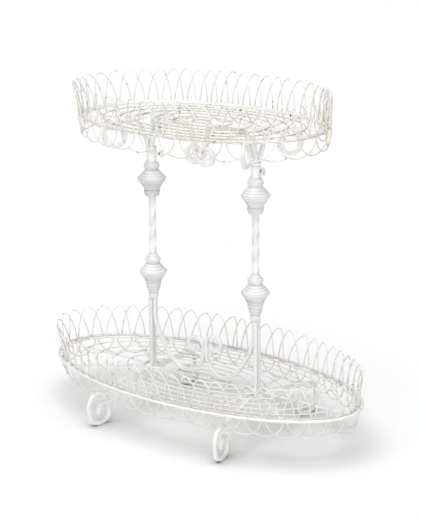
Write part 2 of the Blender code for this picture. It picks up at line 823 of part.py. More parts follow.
def upper_boss(side_name, side):
    """Bored from above for the upper tier's peg."""
    profile = [
        (0.0, SOCKET_BOTTOM),
        (TUBE_BORE_RADIUS, SOCKET_BOTTOM),
        (TUBE_BORE_RADIUS, UPPER_BOSS_BOTTOM + UPPER_BOSS_HEIGHT),
    ]
    profile += scaled_profile(
        UPPER_BOSS_SHARES, UPPER_BOSS_RADIUS, UPPER_BOSS_HEIGHT, UPPER_BOSS_BOTTOM
    )
    turned(f"{side_name}_upper_boss", profile, side * POST_X, CASTING_PAINT)


def socket_tube(side_name, side, bore_cutter):
    profile = [
        (TUBE_BORE_RADIUS, TUBE_TOP),
        (TUBE_RADIUS, TUBE_TOP),
        (TUBE_RADIUS, TUBE_BOTTOM),
        (TUBE_BORE_RADIUS, TUBE_BOTTOM),
    ]
    tube = turned(f"{side_name}_socket_tube", profile, side * POST_X, CASTING_PAINT)
    boolean(tube, bore_cutter)


def clamp_boss(side_name, matrix, envelope, bore_cutter):
    """The threaded boss on the tube that the thumb screw passes through."""
    name = f"{side_name}_clamp_boss"
    mesh = rod_mesh(name, CLAMP_BOSS_RADIUS, TUBE_BORE_RADIUS, CLAMP_BOSS_END)
    boss = add_piece(name, mesh, CASTING_PAINT, matrix)
    boolean(boss, envelope)
    boolean(boss, bore_cutter)


def screw_wing(side_name, matrix, bore_cutter):
    """Two flat wings on a barrel."""
    middle = WING_START + WING_BARREL_LENGTH / 2
    upper = [
        (middle + WING_LENGTH * (along - 1 / 2), WING_REACH * across)
        for along, across in WING_SHARES
    ]
    lower = [(along, -across) for along, across in reversed(upper)]
    name = f"{side_name}_screw_wing"
    outline = bpy.data.curves.new(name, "CURVE")
    outline.dimensions = "2D"
    outline.fill_mode = "BOTH"
    outline.extrude = WING_THICKNESS / 2
    spline = outline.splines.new("POLY")
    spline.points.add(len(upper + lower) - 1)
    for point, place in zip(spline.points, upper + lower):
        point.co = (*place, 0.0, 1.0)
    spline.use_cyclic_u = True
    upright = matrix @ Matrix.Rotation(math.pi / 2, 4, "X")
    mesh = mesh_of(add_piece(name, outline, SCREW_METAL, upright))
    wing = add_piece(name, mesh, SCREW_METAL, upright)
    barrel_name = f"{side_name}_wing_barrel"
    barrel_mesh = rod_mesh(
        barrel_name, WING_BARREL_RADIUS, WING_START, WING_START + WING_BARREL_LENGTH
    )
    boolean(wing, add_cutter(barrel_name, barrel_mesh, matrix), "UNION")
    boolean(wing, bore_cutter)
    return wing


def thumb_screw(side_name, side, degrees, envelope):
    """The screw that clamps the upper tier's peg, with the holes it passes through."""
    matrix = screw_matrix(side, math.radians(degrees))
    wing_bore_end = WING_START + SCREW_IN_WING
    bore_name = f"{side_name}_screw_bore"
    bore_mesh = rod_mesh(bore_name, SCREW_BORE_RADIUS, PEG_RADIUS / 2, wing_bore_end)
    bore = add_cutter(bore_name, bore_mesh, matrix)
    socket_tube(side_name, side, bore)
    clamp_boss(side_name, matrix, envelope, bore)
    name = f"{side_name}_screw_shank"
    mesh = rod_mesh(name, SCREW_RADIUS, TUBE_BORE_RADIUS, wing_bore_end - CLEARANCE)
    shank = add_piece(name, mesh, SCREW_METAL, matrix)
    wing = screw_wing(side_name, matrix, bore)
    wing.parent = shank
    wing.matrix_parent_inverse = matrix.inverted()


def peg(side_name, side):
    """Stands in the socket tube, with a shoulder that rests on it."""
    chamfer = TUBE_WALL / 2
    profile = [
        (0.0, PEG_TOP),
        (PEG_SHOULDER_RADIUS, PEG_TOP),
        (PEG_SHOULDER_RADIUS, PEG_SHOULDER_BOTTOM),
        (PEG_RADIUS, PEG_SHOULDER_BOTTOM),
        (PEG_RADIUS, PEG_BOTTOM + chamfer),
        (PEG_RADIUS - chamfer, PEG_BOTTOM),
        (0.0, PEG_BOTTOM),
    ]
    turned(f"upper_{side_name}_peg", profile, side * POST_X, CASTING_PAINT)


def basket(
    tier, oval, rim_height, arch_count, arch_lengths, scallop_stations, outside_count, material
):
    underside = levels_of(rim_height)[0]
    rim(tier, oval, rim_height, material)
    floor_ring(tier, oval, underside, material)
    arches(tier, oval, rim_height, arch_count, arch_lengths, material)
    scallops(tier, oval, rim_height, scallop_stations, material)
    floor_ovals(tier, oval, underside, outside_count, material)


def lower_tier():
    basket(
        "lower", LOWER_OVAL, LOWER_RIM_HEIGHT, LOWER_ARCH_COUNT, LOWER_ARCH_LENGTHS,
        lower_scallop_stations(), LOWER_OVALS_OUTSIDE_COUNT, LOWER_WIRE_PAINT,
    )
    hub_bore = lower_hub_bore()
    floor_frame("lower", LOWER_OVAL, LOWER_FRAME_TOP, hub_bore + HUB_RING_WIDTH, hub_bore)
    for (side_name, side), curl_share in zip(SIDES, (LEFT_CURL_SHARE, RIGHT_CURL_SHARE)):
        for end_name, end in ENDS:
            lower_leg(side_name, side, end_name, end)
        lower_scroll(side_name, side, curl_share)


def posts():
    envelope = discs("tube_envelope", TUBE_RADIUS + CLEARANCE, SCREW_HEIGHT, TUBE_HEIGHT)
    bearings = (LEFT_SCREW_BEARING, RIGHT_SCREW_BEARING)
    for (side_name, side), degrees in zip(SIDES, bearings):
        collar(side_name, side)
        lower_boss(side_name, side)
        twisted_bar(side_name, side)
        upper_boss(side_name, side)
        thumb_screw(side_name, side, degrees, envelope)


def upper_tier():
    """Everything that lifts off together, on one handle."""
    before = set(STAND.objects)
    basket(
        "upper", UPPER_OVAL, UPPER_RIM_HEIGHT, UPPER_ARCH_COUNT, UPPER_ARCH_LENGTHS,
        UPPER_OVAL.evenly(UPPER_SCALLOP_COUNT), UPPER_OVALS_OUTSIDE_COUNT, UPPER_WIRE_PAINT,
    )
    floor_frame("upper", UPPER_OVAL, UPPER_FRAME_TOP, UPPER_HUB_RADIUS, None)
    for side_name, side in SIDES:
        for end_name, end in ENDS:
            upper_leg(side_name, side, end_name, end)
        upper_scroll(side_name, side)
        peg(side_name, side)
    handle = bpy.data.objects.new("upper_tier", None)
    handle.location = (0.0, 0.0, PEG_SHOULDER_BOTTOM)
    STAND.objects.link(handle)
    for piece in set(STAND.objects) - before - {handle}:
        piece.parent = handle
        piece.matrix_parent_inverse = Matrix.Translation(handle.location).inverted()


lower_tier()
posts()
upper_tier()
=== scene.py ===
"""Looks of the two-tier oval wire stand: fine wires, bars and turnings in worn white paint, with
painted shade in its seams and grooves.
"""

import math
from typing import NamedTuple

import bpy
import numpy as np
from mathutils import Matrix, Vector

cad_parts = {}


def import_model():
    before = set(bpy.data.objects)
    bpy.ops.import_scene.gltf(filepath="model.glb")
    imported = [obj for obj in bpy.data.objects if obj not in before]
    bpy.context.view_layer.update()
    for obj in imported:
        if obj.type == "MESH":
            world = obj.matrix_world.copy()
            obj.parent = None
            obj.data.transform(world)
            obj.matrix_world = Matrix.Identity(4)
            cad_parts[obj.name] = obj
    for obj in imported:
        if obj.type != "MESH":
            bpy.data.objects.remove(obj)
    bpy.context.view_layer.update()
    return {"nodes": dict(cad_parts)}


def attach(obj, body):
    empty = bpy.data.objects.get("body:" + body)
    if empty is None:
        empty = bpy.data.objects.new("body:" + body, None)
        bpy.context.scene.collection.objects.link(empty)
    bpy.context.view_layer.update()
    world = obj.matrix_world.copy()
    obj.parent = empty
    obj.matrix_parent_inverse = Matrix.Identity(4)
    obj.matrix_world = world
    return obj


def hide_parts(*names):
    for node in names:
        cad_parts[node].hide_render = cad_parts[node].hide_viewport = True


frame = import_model()

# Fits and stock, in metres. The shown wires and the square bars are a little fuller than the solids.
CLEARANCE = 0.0003
RIM_RADIUS = 0.003
FLOOR_RING_RADIUS = 0.002
WIRE_RADIUS = 0.0012
SHOWN_WIRE_RADIUS = 0.00135
BAR_SIDE = 0.0071
BAR_CORNER = 0.0009
FLAT_BAR_WIDTH = 0.007
FLAT_BAR_THICKNESS = 0.0025
FLAT_BAR_CORNER = 0.0006

# Fineness of the meshes
SHARP_DEGREES = 50
CORNER_STEPS = 3
FLAT_BAR_POINTS = 12
RIM_SIDES = 14
FLOOR_RING_SIDES = 12
FLOOR_OVAL_SIDES = 10
LOOP_SIDES = 8
LOOP_STEPS = 22
LATHE_STEPS = 64
ELBOW_STEPS = 12
TWIST_STEPS = 120
TWIST_CORNER_STEPS = 4
LEG_STEPS = 20
LOWER_RUN_STEPS = 16
UPPER_RUN_STEPS = 8
CURVE_STEPS = 8
DROP_STEPS = 6
FLOOR_OVAL_POINTS = 96
MORE_OVAL_POINTS = 16

# Ovals, to the centre of the rim's wire. RIM_FACETS is how many straight sides the solids' rims have.
LOWER_HALF_LENGTH = 0.3492
LOWER_HALF_DEPTH = 0.1686
LOWER_ROUND_SHARE = 1.0
LOWER_RIM_HEIGHT = 0.0924
UPPER_HALF_LENGTH = 0.2485
UPPER_HALF_DEPTH = 0.1592
UPPER_ROUND_SHARE = 0.87
UPPER_RIM_HEIGHT = 0.600
RIM_FACETS = 60
RIM_POINTS = 240
TABLE_STEPS = 1440

# Arches, the loops above the rim
ARCH_HEIGHT = 0.063
ARCH_FLARE = 0.0125
LOWER_UPRIGHT_SHARE = 0.45
UPPER_UPRIGHT_SHARE = 0.80
ARCH_POINTING = 1.48
ARCH_REACH_SHARE = 0.875
LOWER_FRONT_ARCHES = 30
UPPER_FRONT_ARCHES = 26
LOWER_ARCH_LENGTHS = ("right_", "rear_", "left_", "front_")
UPPER_ARCH_LENGTHS = ("",)

# Photo x of the arches' peaks round the rear, from the right end to the left
LOWER_PEAKS_X = (
    362.5, 356.9, 351.3, 343.1, 335.6, 325.6, 316.3, 306.5, 290, 280.6, 266.9, 253.8, 242.3,
    234.4, 218.1, 206.9, 191, 178.1, 161.9, 148.75, 132.5, 120, 103.1, 88.1, 73.1, 63.75,
)
UPPER_PEAKS_X = (
    333.1, 331.2, 328.6, 322.5, 314.2, 302.7, 289, 279.5, 267.7, 256.2, 244.1, 233.5, 221.8,
    211.8, 200, 186.6, 173.8, 160.4, 145.3, 130.3, 114.6, 99.3, 88.4, 81.0, 76.1,
)

# Scallops, the loops below the rim
SCALLOP_DEPTH = 0.034
SCALLOP_TUCK = 0.004
SCALLOP_POINTING = 1.0
SCALLOP_REACH_SHARE = 0.915
LOWER_END_SCALLOPS = 13
LOWER_SIDE_SCALLOPS = 7
UPPER_SCALLOP_COUNT = 30

# How uneven the arches' heights are, and where along the rim a rear arch's peak is looked for
HEIGHT_JITTER_SHARE = 0.025
LOWER_SEED = 3
UPPER_SEED = 4
REAR_SEARCH_SHARE = 0.62
REAR_SEARCH_STEPS = 600

# (arch, share of its height) at the left end, where the real ones are bent down
LOWER_BENT_ARCHES = ((26, 0.95), (27, 0.90), (28, 0.89), (29, 0.94))

# Floors
OVALS_INSIDE_COUNT = 3
LOWER_OVALS_OUTSIDE = 5
UPPER_OVALS_OUTSIDE = 3
DIAGONAL_BEARING = 37
HUB_RING_WIDTH = 0.0050
WASHER_EASE = 0.0002
BAR_IN_HUB = 0.003
UPPER_HUB_RADIUS = 0.0195

# Posts
POST_X = 0.1235
LEG_TOP = 0.2290
COLLAR_RADIUS = 0.0095
COLLAR_HEIGHT = 0.0112
LOWER_BOSS_HEIGHT = 0.0815
LOWER_BOSS_RADIUS = 0.0275
TWISTED_BAR_LENGTH = 0.1110
TWISTED_BAR_SIDE = 0.0114
TWISTED_BAR_CORNER = 0.0018
TWISTED_BAR_TURNS = 0.77
UPPER_BOSS_HEIGHT = 0.0717
UPPER_BOSS_RADIUS = 0.0278
TUBE_HEIGHT = 0.0236
TUBE_RADIUS = 0.0095
TUBE_WALL = 0.0022
PEG_DEPTH = 0.040
PEG_SHOULDER_RADIUS = 0.0102
PEG_SHOULDER_HEIGHT = 0.0060

# Legs, feet and scrolls
ELBOW_RADIUS = 0.014
ELBOW_EASE = 0.001
ELBOW_FACETS = 3
LOWER_FOOT_X = 0.1487
LOWER_FOOT_Y = 0.1425
LOWER_FOOT_TOP = 0.0645
UPPER_FOOT_X = 0.154
UPPER_FOOT_Y = 0.073
UPPER_FOOT_BOTTOM = 0.540
SPLAY_WIDTH = 0.040
LOWER_SCROLL_RISE = 0.0005
LOWER_SCROLL_MIDDLE_X = 0.003
LEFT_CURL_SHARE = 0.89
RIGHT_CURL_SHARE = 1.0
UPPER_DROP_X = 0.0150
UPPER_DROP_BOTTOM = 0.527
UPPER_RING_RADIUS = 0.0162
UPPER_RING_X = 0.0172
UPPER_RING_HEIGHT = 0.532
UPPER_SCROLL_MIDDLE_X = -0.0055
UPPER_RING_ANGLES = range(-65, -351, -25)

# Outlines: (outward, up) in shares of the foot's height
LOWER_FOOT_SHARES = (
    (0.075, 1.0), (0.334, 0.894), (0.446, 0.552), (0.375, 0.150), (0.090, 0.0), (-0.090, 0.0),
    (-0.333, 0.110), (-0.386, 0.357), (-0.277, 0.578), (-0.106, 0.634), (0.040, 0.513),
    (0.065, 0.325),
)

UPPER_FOOT_SHARES = (
    (0.075, 1.0), (0.350, 0.905), (0.480, 0.560), (0.400, 0.180), (0.110, 0.0), (-0.110, 0.0),
    (-0.390, 0.150), (-0.490, 0.430), (-0.440, 0.680), (-0.290, 0.800), (-0.130, 0.790),
)

# (outward, up) in shares of the way from the middle to the post, and from the floor to the leg's top
LOWER_SWEEP_SHARES = (
    (1.0, 1.0), (1.0, 0.700), (0.945, 0.537), (0.844, 0.365), (0.662, 0.140), (0.489, 0.022),
    (0.316, 0.0),
)
LOWER_CURL_SHARES = (
    (0.143, 0.070), (0.022, 0.200), (0.0, 0.335), (0.0, 0.470), (0.044, 0.566), (0.151, 0.600),
    (0.258, 0.566), (0.302, 0.485), (0.258, 0.412), (0.168, 0.385), (0.098, 0.420),
    (0.094, 0.490),
)

# (outward, up) in shares of the splay's width, and of the way from the peg to the floor frame
SPLAY_SHARES = (
    (0.0, 0.0), (0.0, 0.06), (0.06, 0.22), (0.20, 0.50), (0.40, 0.80), (0.68, 0.96), (1.0, 1.0),
)

# (outward, down) in shares of the drop's distance from the middle, and of its height
UPPER_DROP_SHARES = ((2.0, 0.0), (1.25, 0.10), (1.0, 0.30), (0.80, 0.62), (0.27, 1.0))

# (radius, up from the bottom) in shares of the piece's radius and height
COLLAR_SHARES = (
    (0.0, 1.0), (0.88, 1.0), (0.97, 0.96), (1.0, 0.88), (1.0, 0.35), (0.95, 0.05), (0.90, 0.0),
    (0.0, 0.0),
)
LOWER_BOSS_SHARES = (
    (0.0, 1.0), (0.240, 1.0), (0.262, 0.985), (0.365, 0.940), (0.385, 0.918), (0.455, 0.896),
    (0.530, 0.862), (0.553, 0.830), (0.540, 0.798), (0.480, 0.768), (0.440, 0.758), (0.436, 0.746),
    (0.480, 0.732), (0.720, 0.655), (0.955, 0.568), (0.995, 0.552), (1.0, 0.540), (0.975, 0.512),
    (0.900, 0.470), (0.800, 0.430), (0.745, 0.418), (0.715, 0.409), (0.738, 0.396), (0.700, 0.370),
    (0.612, 0.353), (0.596, 0.341), (0.632, 0.326), (0.612, 0.298), (0.500, 0.281), (0.494, 0.268),
    (0.538, 0.252), (0.556, 0.225), (0.540, 0.192), (0.470, 0.172), (0.466, 0.160), (0.498, 0.146),
    (0.486, 0.116), (0.392, 0.098), (0.388, 0.088), (0.430, 0.074), (0.428, 0.046), (0.350, 0.020),
    (0.310, 0.012), (0.310, 0.0), (0.0, 0.0),
)
UPPER_BOSS_SHARES = (
    (0.342, 1.0), (0.440, 0.994), (0.468, 0.972), (0.525, 0.932), (0.556, 0.890), (0.540, 0.846),
    (0.478, 0.818), (0.448, 0.806), (0.446, 0.794), (0.490, 0.780), (0.715, 0.688), (0.935, 0.588),
    (0.990, 0.566), (1.0, 0.550), (0.985, 0.518), (0.920, 0.468), (0.820, 0.426), (0.750, 0.414),
    (0.742, 0.404), (0.772, 0.390), (0.712, 0.364), (0.640, 0.352), (0.634, 0.342), (0.660, 0.328),
    (0.612, 0.300), (0.560, 0.290), (0.556, 0.280), (0.578, 0.266), (0.540, 0.246), (0.486, 0.238),
    (0.486, 0.226), (0.560, 0.206), (0.576, 0.184), (0.552, 0.150), (0.506, 0.138), (0.504, 0.128),
    (0.530, 0.112), (0.500, 0.076), (0.420, 0.048), (0.310, 0.036), (0.290, 0.026), (0.273, 0.0),
    (0.0, 0.0),
)

SIDES = (("left", -1), ("right", 1))
ENDS = (("front", -1), ("rear", 1))


def levels_of(rim_height):
    """The floor's underside, and the top and bottom of the frame under it."""
    underside = rim_height - RIM_RADIUS
    frame_top = underside - CLEARANCE
    return underside, frame_top, frame_top - FLAT_BAR_THICKNESS


LOWER_FLOOR, _, LOWER_FRAME_BOTTOM = levels_of(LOWER_RIM_HEIGHT)
UPPER_FRAME_BOTTOM = levels_of(UPPER_RIM_HEIGHT)[-1]
ELBOW_LEVEL = LOWER_FRAME_BOTTOM - CLEARANCE - BAR_SIDE / 2 - ELBOW_EASE
COLLAR_BOTTOM = LEG_TOP + CLEARANCE
LOWER_BOSS_BOTTOM = COLLAR_BOTTOM + COLLAR_HEIGHT + CLEARANCE
TWISTED_BAR_BOTTOM = LOWER_BOSS_BOTTOM + LOWER_BOSS_HEIGHT + CLEARANCE
UPPER_BOSS_BOTTOM = TWISTED_BAR_BOTTOM + TWISTED_BAR_LENGTH + CLEARANCE
TUBE_BOTTOM = UPPER_BOSS_BOTTOM + UPPER_BOSS_HEIGHT + CLEARANCE
TUBE_TOP = TUBE_BOTTOM + TUBE_HEIGHT
TUBE_BORE_RADIUS = TUBE_RADIUS - TUBE_WALL
PEG_RADIUS = TUBE_BORE_RADIUS - CLEARANCE
PEG_SHOULDER_BOTTOM = TUBE_TOP + CLEARANCE
PEG_TOP = PEG_SHOULDER_BOTTOM + PEG_SHOULDER_HEIGHT
PEG_BOTTOM = PEG_SHOULDER_BOTTOM - PEG_DEPTH
UPPER_LEG_BOTTOM = PEG_TOP + CLEARANCE
STRAND_SPREAD = 2 * SCALLOP_REACH_SHARE * (2 * WIRE_RADIUS + CLEARANCE)


# Meshes
def mesh_piece(name, vertices, faces, material, body, nodes):
    """Adds a smooth-shaded mesh that stands for these solids and moves with a body."""
    mesh = bpy.data.meshes.new(name)
    mesh.from_pydata([tuple(v) for v in vertices], [], faces)
    mesh.shade_smooth()
    mesh.set_sharp_from_angle(angle=math.radians(SHARP_DEGREES))
    mesh.materials.append(material)
    piece = bpy.data.objects.new(name, mesh)
    bpy.context.scene.collection.objects.link(piece)
    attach(piece, body)
    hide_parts(*nodes)
    return piece


class Shell:
    """Gathers the vertices and faces of one piece."""

    def __init__(self):
        self.vertices = []
        self.faces = []
        self.count = 0

    def add(self, vertices, faces):
        self.vertices.append(np.asarray(vertices, float))
        self.faces += [tuple(index + self.count for index in face) for face in faces]
        self.count += len(vertices)

    def piece(self, name, material, body, nodes, slot):
        return mesh_piece(
            name, np.concatenate(self.vertices), self.faces, material, body, nodes
        )


def grid_faces(rings, sides, closed):
    faces = []
    for ring in range(rings if closed else rings - 1):
        ahead = (ring + 1) % rings
        for side in range(sides):
            other = (side + 1) % sides
            faces.append(
                (ring * sides + side, ring * sides + other, ahead * sides + other, ahead * sides + side)
            )
    return faces


def tangents_of(points, closed):
    if closed:
        ahead, behind = np.roll(points, -1, 0), np.roll(points, 1, 0)
    else:
        ahead = np.concatenate([points[1:], points[-1:]])
        behind = np.concatenate([points[:1], points[:-1]])
    away = ahead - behind
    return away / np.linalg.norm(away, axis=1)[:, None]


def transported(tangents, closed):
    """Cross directions carried along a path with no twist, or a little where a loop has to close."""
    start = np.cross(tangents[0], (0.0, 0.0, 1.0))
    nearly_upright = 0.1
    if np.linalg.norm(start) < nearly_upright:
        start = np.cross(tangents[0], (1.0, 0.0, 0.0))
    normal = start / np.linalg.norm(start)
    normals = [normal]
    for before, after in zip(tangents, tangents[1:]):
        turn = Vector(before).rotation_difference(Vector(after))
        normal = np.array(turn @ Vector(normal))
        normals.append(normal)
    normals = np.array(normals)
    binormals = np.cross(tangents, normals)
    if closed:
        turn = Vector(tangents[-1]).rotation_difference(Vector(tangents[0]))
        arrived = np.array(turn @ Vector(normals[-1]))
        gap = math.atan2(arrived @ binormals[0], arrived @ normals[0])
        angles = -gap * np.arange(len(normals)) / len(normals)
        cosines, sines = np.cos(angles)[:, None], np.sin(angles)[:, None]
        normals, binormals = (
            normals * cosines + binormals * sines,
            binormals * cosines - normals * sines,
        )
    return normals, binormals


def add_sweep(shell, points, section, closed=False, frames=None):
    """Sweeps a section, given as (normal, binormal) pairs, along points, with flat ends."""
    points = np.asarray(points, float)
    section = np.asarray(section, float)
    tangents = tangents_of(points, closed)
    normals, binormals = frames or transported(tangents, closed)
    rings = (
        points[:, None, :]
        + normals[:, None, :] * section[None, :, :1]
        + binormals[:, None, :] * section[None, :, 1:]
    )
    sides = len(section)
    faces = grid_faces(len(points), sides, closed)
    if not closed:
        faces.append(tuple(reversed(range(sides))))
        last = (len(points) - 1) * sides
        faces.append(tuple(range(last, last + sides)))
    shell.add(rings.reshape(-1, 3), faces)


def round_section(radius, sides):
    angles = np.arange(sides) * math.tau / sides
    return np.column_stack([np.cos(angles), np.sin(angles)]) * radius


def rounded_rectangle(width, height, corner, steps):
    """A rectangle with rounded corners, counter-clockwise."""
    places = []
    for quarter, (x, y) in enumerate(((1, 1), (-1, 1), (-1, -1), (1, -1))):
        for step in range(steps + 1):
            angle = math.pi / 2 * (quarter + step / steps)
            places.append(
                (
                    x * (width / 2 - corner) + corner * math.cos(angle),
                    y * (height / 2 - corner) + corner * math.sin(angle),
                )
            )
    return np.array(places)


def smooth(points, steps):
    """A dense Catmull-Rom run through all the points."""
    points = np.asarray(points, float)
    ends = np.concatenate([2 * points[:1] - points[1:2], points, 2 * points[-1:] - points[-2:-1]])
    shares = (np.arange(steps) / steps)[:, None]
    run = []
    for before, start, end, after in zip(ends, ends[1:], ends[2:], ends[3:]):
        run.append(
            start
            + shares / 2 * (end - before)
            + shares**2 * (before - 2.5 * start + 2 * end - after / 2)
            + shares**3 * (1.5 * (start - end) + (after - before) / 2)
        )
    return np.concatenate([*run, points[-1:]])


def signed_power(value, power):
    return math.copysign(abs(value) ** power, value)


class Oval:
    """The oval of a rim's centre line, with points placed by distance along it and inset from it.

    Its looped wires are welded inside the rim or outside of it.
    """

    def __init__(self, half_length, half_depth, round_share, wires_inside=True):
        self.half_length = half_length
        self.half_depth = half_depth
        self.round_share = round_share
        facet_depth = half_length * (1 - math.cos(math.pi / RIM_FACETS))
        strands = STRAND_SPREAD / 2 + WIRE_RADIUS + CLEARANCE
        if wires_inside:
            self.strand_inset = facet_depth + RIM_RADIUS + strands
            self.ring_inset = self.strand_inset + strands + FLOOR_RING_RADIUS
        else:
            self.strand_inset = -RIM_RADIUS - strands
            self.ring_inset = facet_depth + RIM_RADIUS + CLEARANCE + FLOOR_RING_RADIUS
        self.bar_end_inset = self.ring_inset + FLOOR_RING_RADIUS / 2
        self.angles = np.linspace(0, math.tau, TABLE_STEPS + 1)
        places = np.array([self.place(angle, 0) for angle in self.angles])
        steps = np.hypot(*np.diff(places, axis=0).T)
        self.lengths = np.concatenate([[0], np.cumsum(steps)])
        self.perimeter = self.lengths[-1]

    def place(self, angle, inset):
        cosine, sine = math.cos(angle), math.sin(angle)
        x = self.half_length * signed_power(cosine, self.round_share)
        y = self.half_depth * signed_power(sine, self.round_share)
        normal = Vector(
            (
                signed_power(cosine, 2 - self.round_share) / self.half_length,
                signed_power(sine, 2 - self.round_share) / self.half_depth,
            )
        ).normalized()
        return x - inset * normal.x, y - inset * normal.y

    def at(self, length, inset):
        angle = np.interp(length % self.perimeter, self.lengths, self.angles)
        return self.place(angle, inset)

    def ring(self, count, inset, height):
        return [(*self.at(length, inset), height) for length in self.evenly(count)]

    def evenly(self, count):
        return [self.perimeter * index / count for index in range(count)]

    def crossing(self, origin, bearing, inset):
        """Where a line from inside the oval crosses it: how far out, and how far round."""
        places = np.array([self.place(angle, inset) for angle in self.angles[:-1]])
        away = places - np.array(origin)
        turn = np.mod(np.arctan2(away[:, 1], away[:, 0]) - bearing + math.pi, math.tau)
        order = np.argsort(turn)
        distance = np.interp(math.pi, turn[order], np.hypot(*away.T)[order])
        length = np.interp(math.pi, turn[order], self.lengths[:-1][order])
        return distance, length


LOWER_OVAL = Oval(LOWER_HALF_LENGTH, LOWER_HALF_DEPTH, LOWER_ROUND_SHARE)
UPPER_OVAL = Oval(UPPER_HALF_LENGTH, UPPER_HALF_DEPTH, UPPER_ROUND_SHARE, wires_inside=False)


# Materials
BOSS_GROOVE_PITCH = 0.0047
NEARNESS_SHADE_REACH = 0.005
RUST = (0.52, 0.36, 0.22)
BARE_IRON = (0.10, 0.075, 0.06)
BARE_ROUGHNESS = 0.85
BUMP_SHARE = 0.25
BUMP_DEPTH = 0.0004
GROOVE_BUMP_SHARE = 0.7
MOTTLED_ROUGHNESS_SHARE = 0.25
PAINTED_SHADE_SAMPLES = 8

# The wave texture's pitch at a scale of 1
WAVE_PITCH = math.tau / 20

# Noises: scale for each metre, detail, roughness, distortion
STAIN_NOISE = (9.0, 3.0, 0.5, 0.0)
MOTTLE_NOISE = (60.0, 4.0, 0.6, 0.0)
GRAIN_NOISE = (420.0, 5.0, 0.65, 0.0)
SPOT_NOISE = (150.0, 6.0, 0.62, 0.3)
PATCH_NOISE = (22.0, 2.0, 0.5, 0.0)

# Levels of the noises: where a stain starts and is full, and how far a chip's edge and halo reach
STAIN_START = 0.42
STAIN_END = 0.62
CHIP_EDGE = 0.02
HALO_WIDTH = 0.07

# Ramps: (level, value) of each stop
MOTTLING = ((0.35, 0.93), (0.65, 1.0))
# Painted shade: the seam and groove ramps darken the paint where parts are near and in turned grooves.
PAINTED_SHADE_IN_SEAMS = ((0.10, 0.58), (0.75, 1.0))
PAINTED_SHADE_IN_GROOVES = ((0.05, 0.80), (0.45, 1.0))
CHIPPED_PATCHES = ((0.46, 0.0), (0.54, 1.0))
WARMTH = ((0.25, 0.35), (0.95, 1.0))
WARMTH_PER_METRE = 2.0
WARMTH_AT_MIDDLE = 0.5

# Sockets of a mix node that mixes colours
MIX_INPUTS = (0, 6, 7)
MIX_RESULT = 2


def node_of(tree, kind, **values):
    """A new node with these settings, where in_ before a name means an input."""
    node = tree.nodes.new(kind)
    for key, value in values.items():
        if key.startswith("in_"):
            node.inputs[key[3:].replace("_", " ")].default_value = value
        else:
            setattr(node, key, value)
    return node


def ramp_of(tree, factor, stops):
    """A grey ramp over a factor, with (level, value) stops."""
    ramp = tree.nodes.new("ShaderNodeValToRGB")
    elements = ramp.color_ramp.elements
    while len(elements) < len(stops):
        elements.new(0.5)
    for element, (position, value) in zip(elements, stops):
        element.position = position
        element.color = (value, value, value, 1.0)
    tree.links.new(factor, ramp.inputs["Fac"])
    return ramp.outputs["Color"]


def mix_of(tree, factor, first, second, blend="MIX"):
    mix = node_of(tree, "ShaderNodeMix", data_type="RGBA", blend_type=blend)
    for socket, value in zip(MIX_INPUTS, (factor, first, second)):
        if isinstance(value, bpy.types.NodeSocket):
            tree.links.new(value, mix.inputs[socket])
        elif isinstance(value, tuple):
            mix.inputs[socket].default_value = (*value, 1.0)
        else:
            mix.inputs[socket].default_value = value
    return mix.outputs[MIX_RESULT]


def noise_of(tree, place, scale, detail, roughness, distortion):
    noise = node_of(
        tree, "ShaderNodeTexNoise", in_Scale=scale, in_Detail=detail,
        in_Roughness=roughness, in_Distortion=distortion,
    )
    tree.links.new(place, noise.inputs["Vector"])
    return noise.outputs["Fac"]


def painted_shade_of_nearness(tree, distance):
    """Painted shade: white where nothing is near, and darker in corners and seams, where shade falls.
    """
    air = node_of(tree, "ShaderNodeAmbientOcclusion", samples=PAINTED_SHADE_SAMPLES, in_Distance=distance)
    return air.outputs["Color"]


def shaded(tree, colour, shade):
    return mix_of(tree, 1.0, colour, shade, "MULTIPLY")


def warmth_of(tree, place):
    """Grows from the stand's left end to its right end."""
    apart = node_of(tree, "ShaderNodeSeparateXYZ")
    tree.links.new(place, apart.inputs[0])
    across = node_of(tree, "ShaderNodeMath", operation="MULTIPLY_ADD")
    tree.links.new(apart.outputs["X"], across.inputs[0])
    across.inputs[1].default_value = WARMTH_PER_METRE
    across.inputs[2].default_value = WARMTH_AT_MIDDLE
    return ramp_of(tree, across.outputs[0], WARMTH)


def painted_groove_shade_of(tree, place, pitch):
    """Painted shade: darker in turned grooves at this pitch along Z, where shade falls."""
    wave = node_of(tree, "ShaderNodeTexWave", bands_direction="Z", in_Scale=WAVE_PITCH / pitch)
    tree.links.new(place, wave.inputs["Vector"])
    return ramp_of(tree, wave.outputs["Fac"], PAINTED_SHADE_IN_GROOVES)


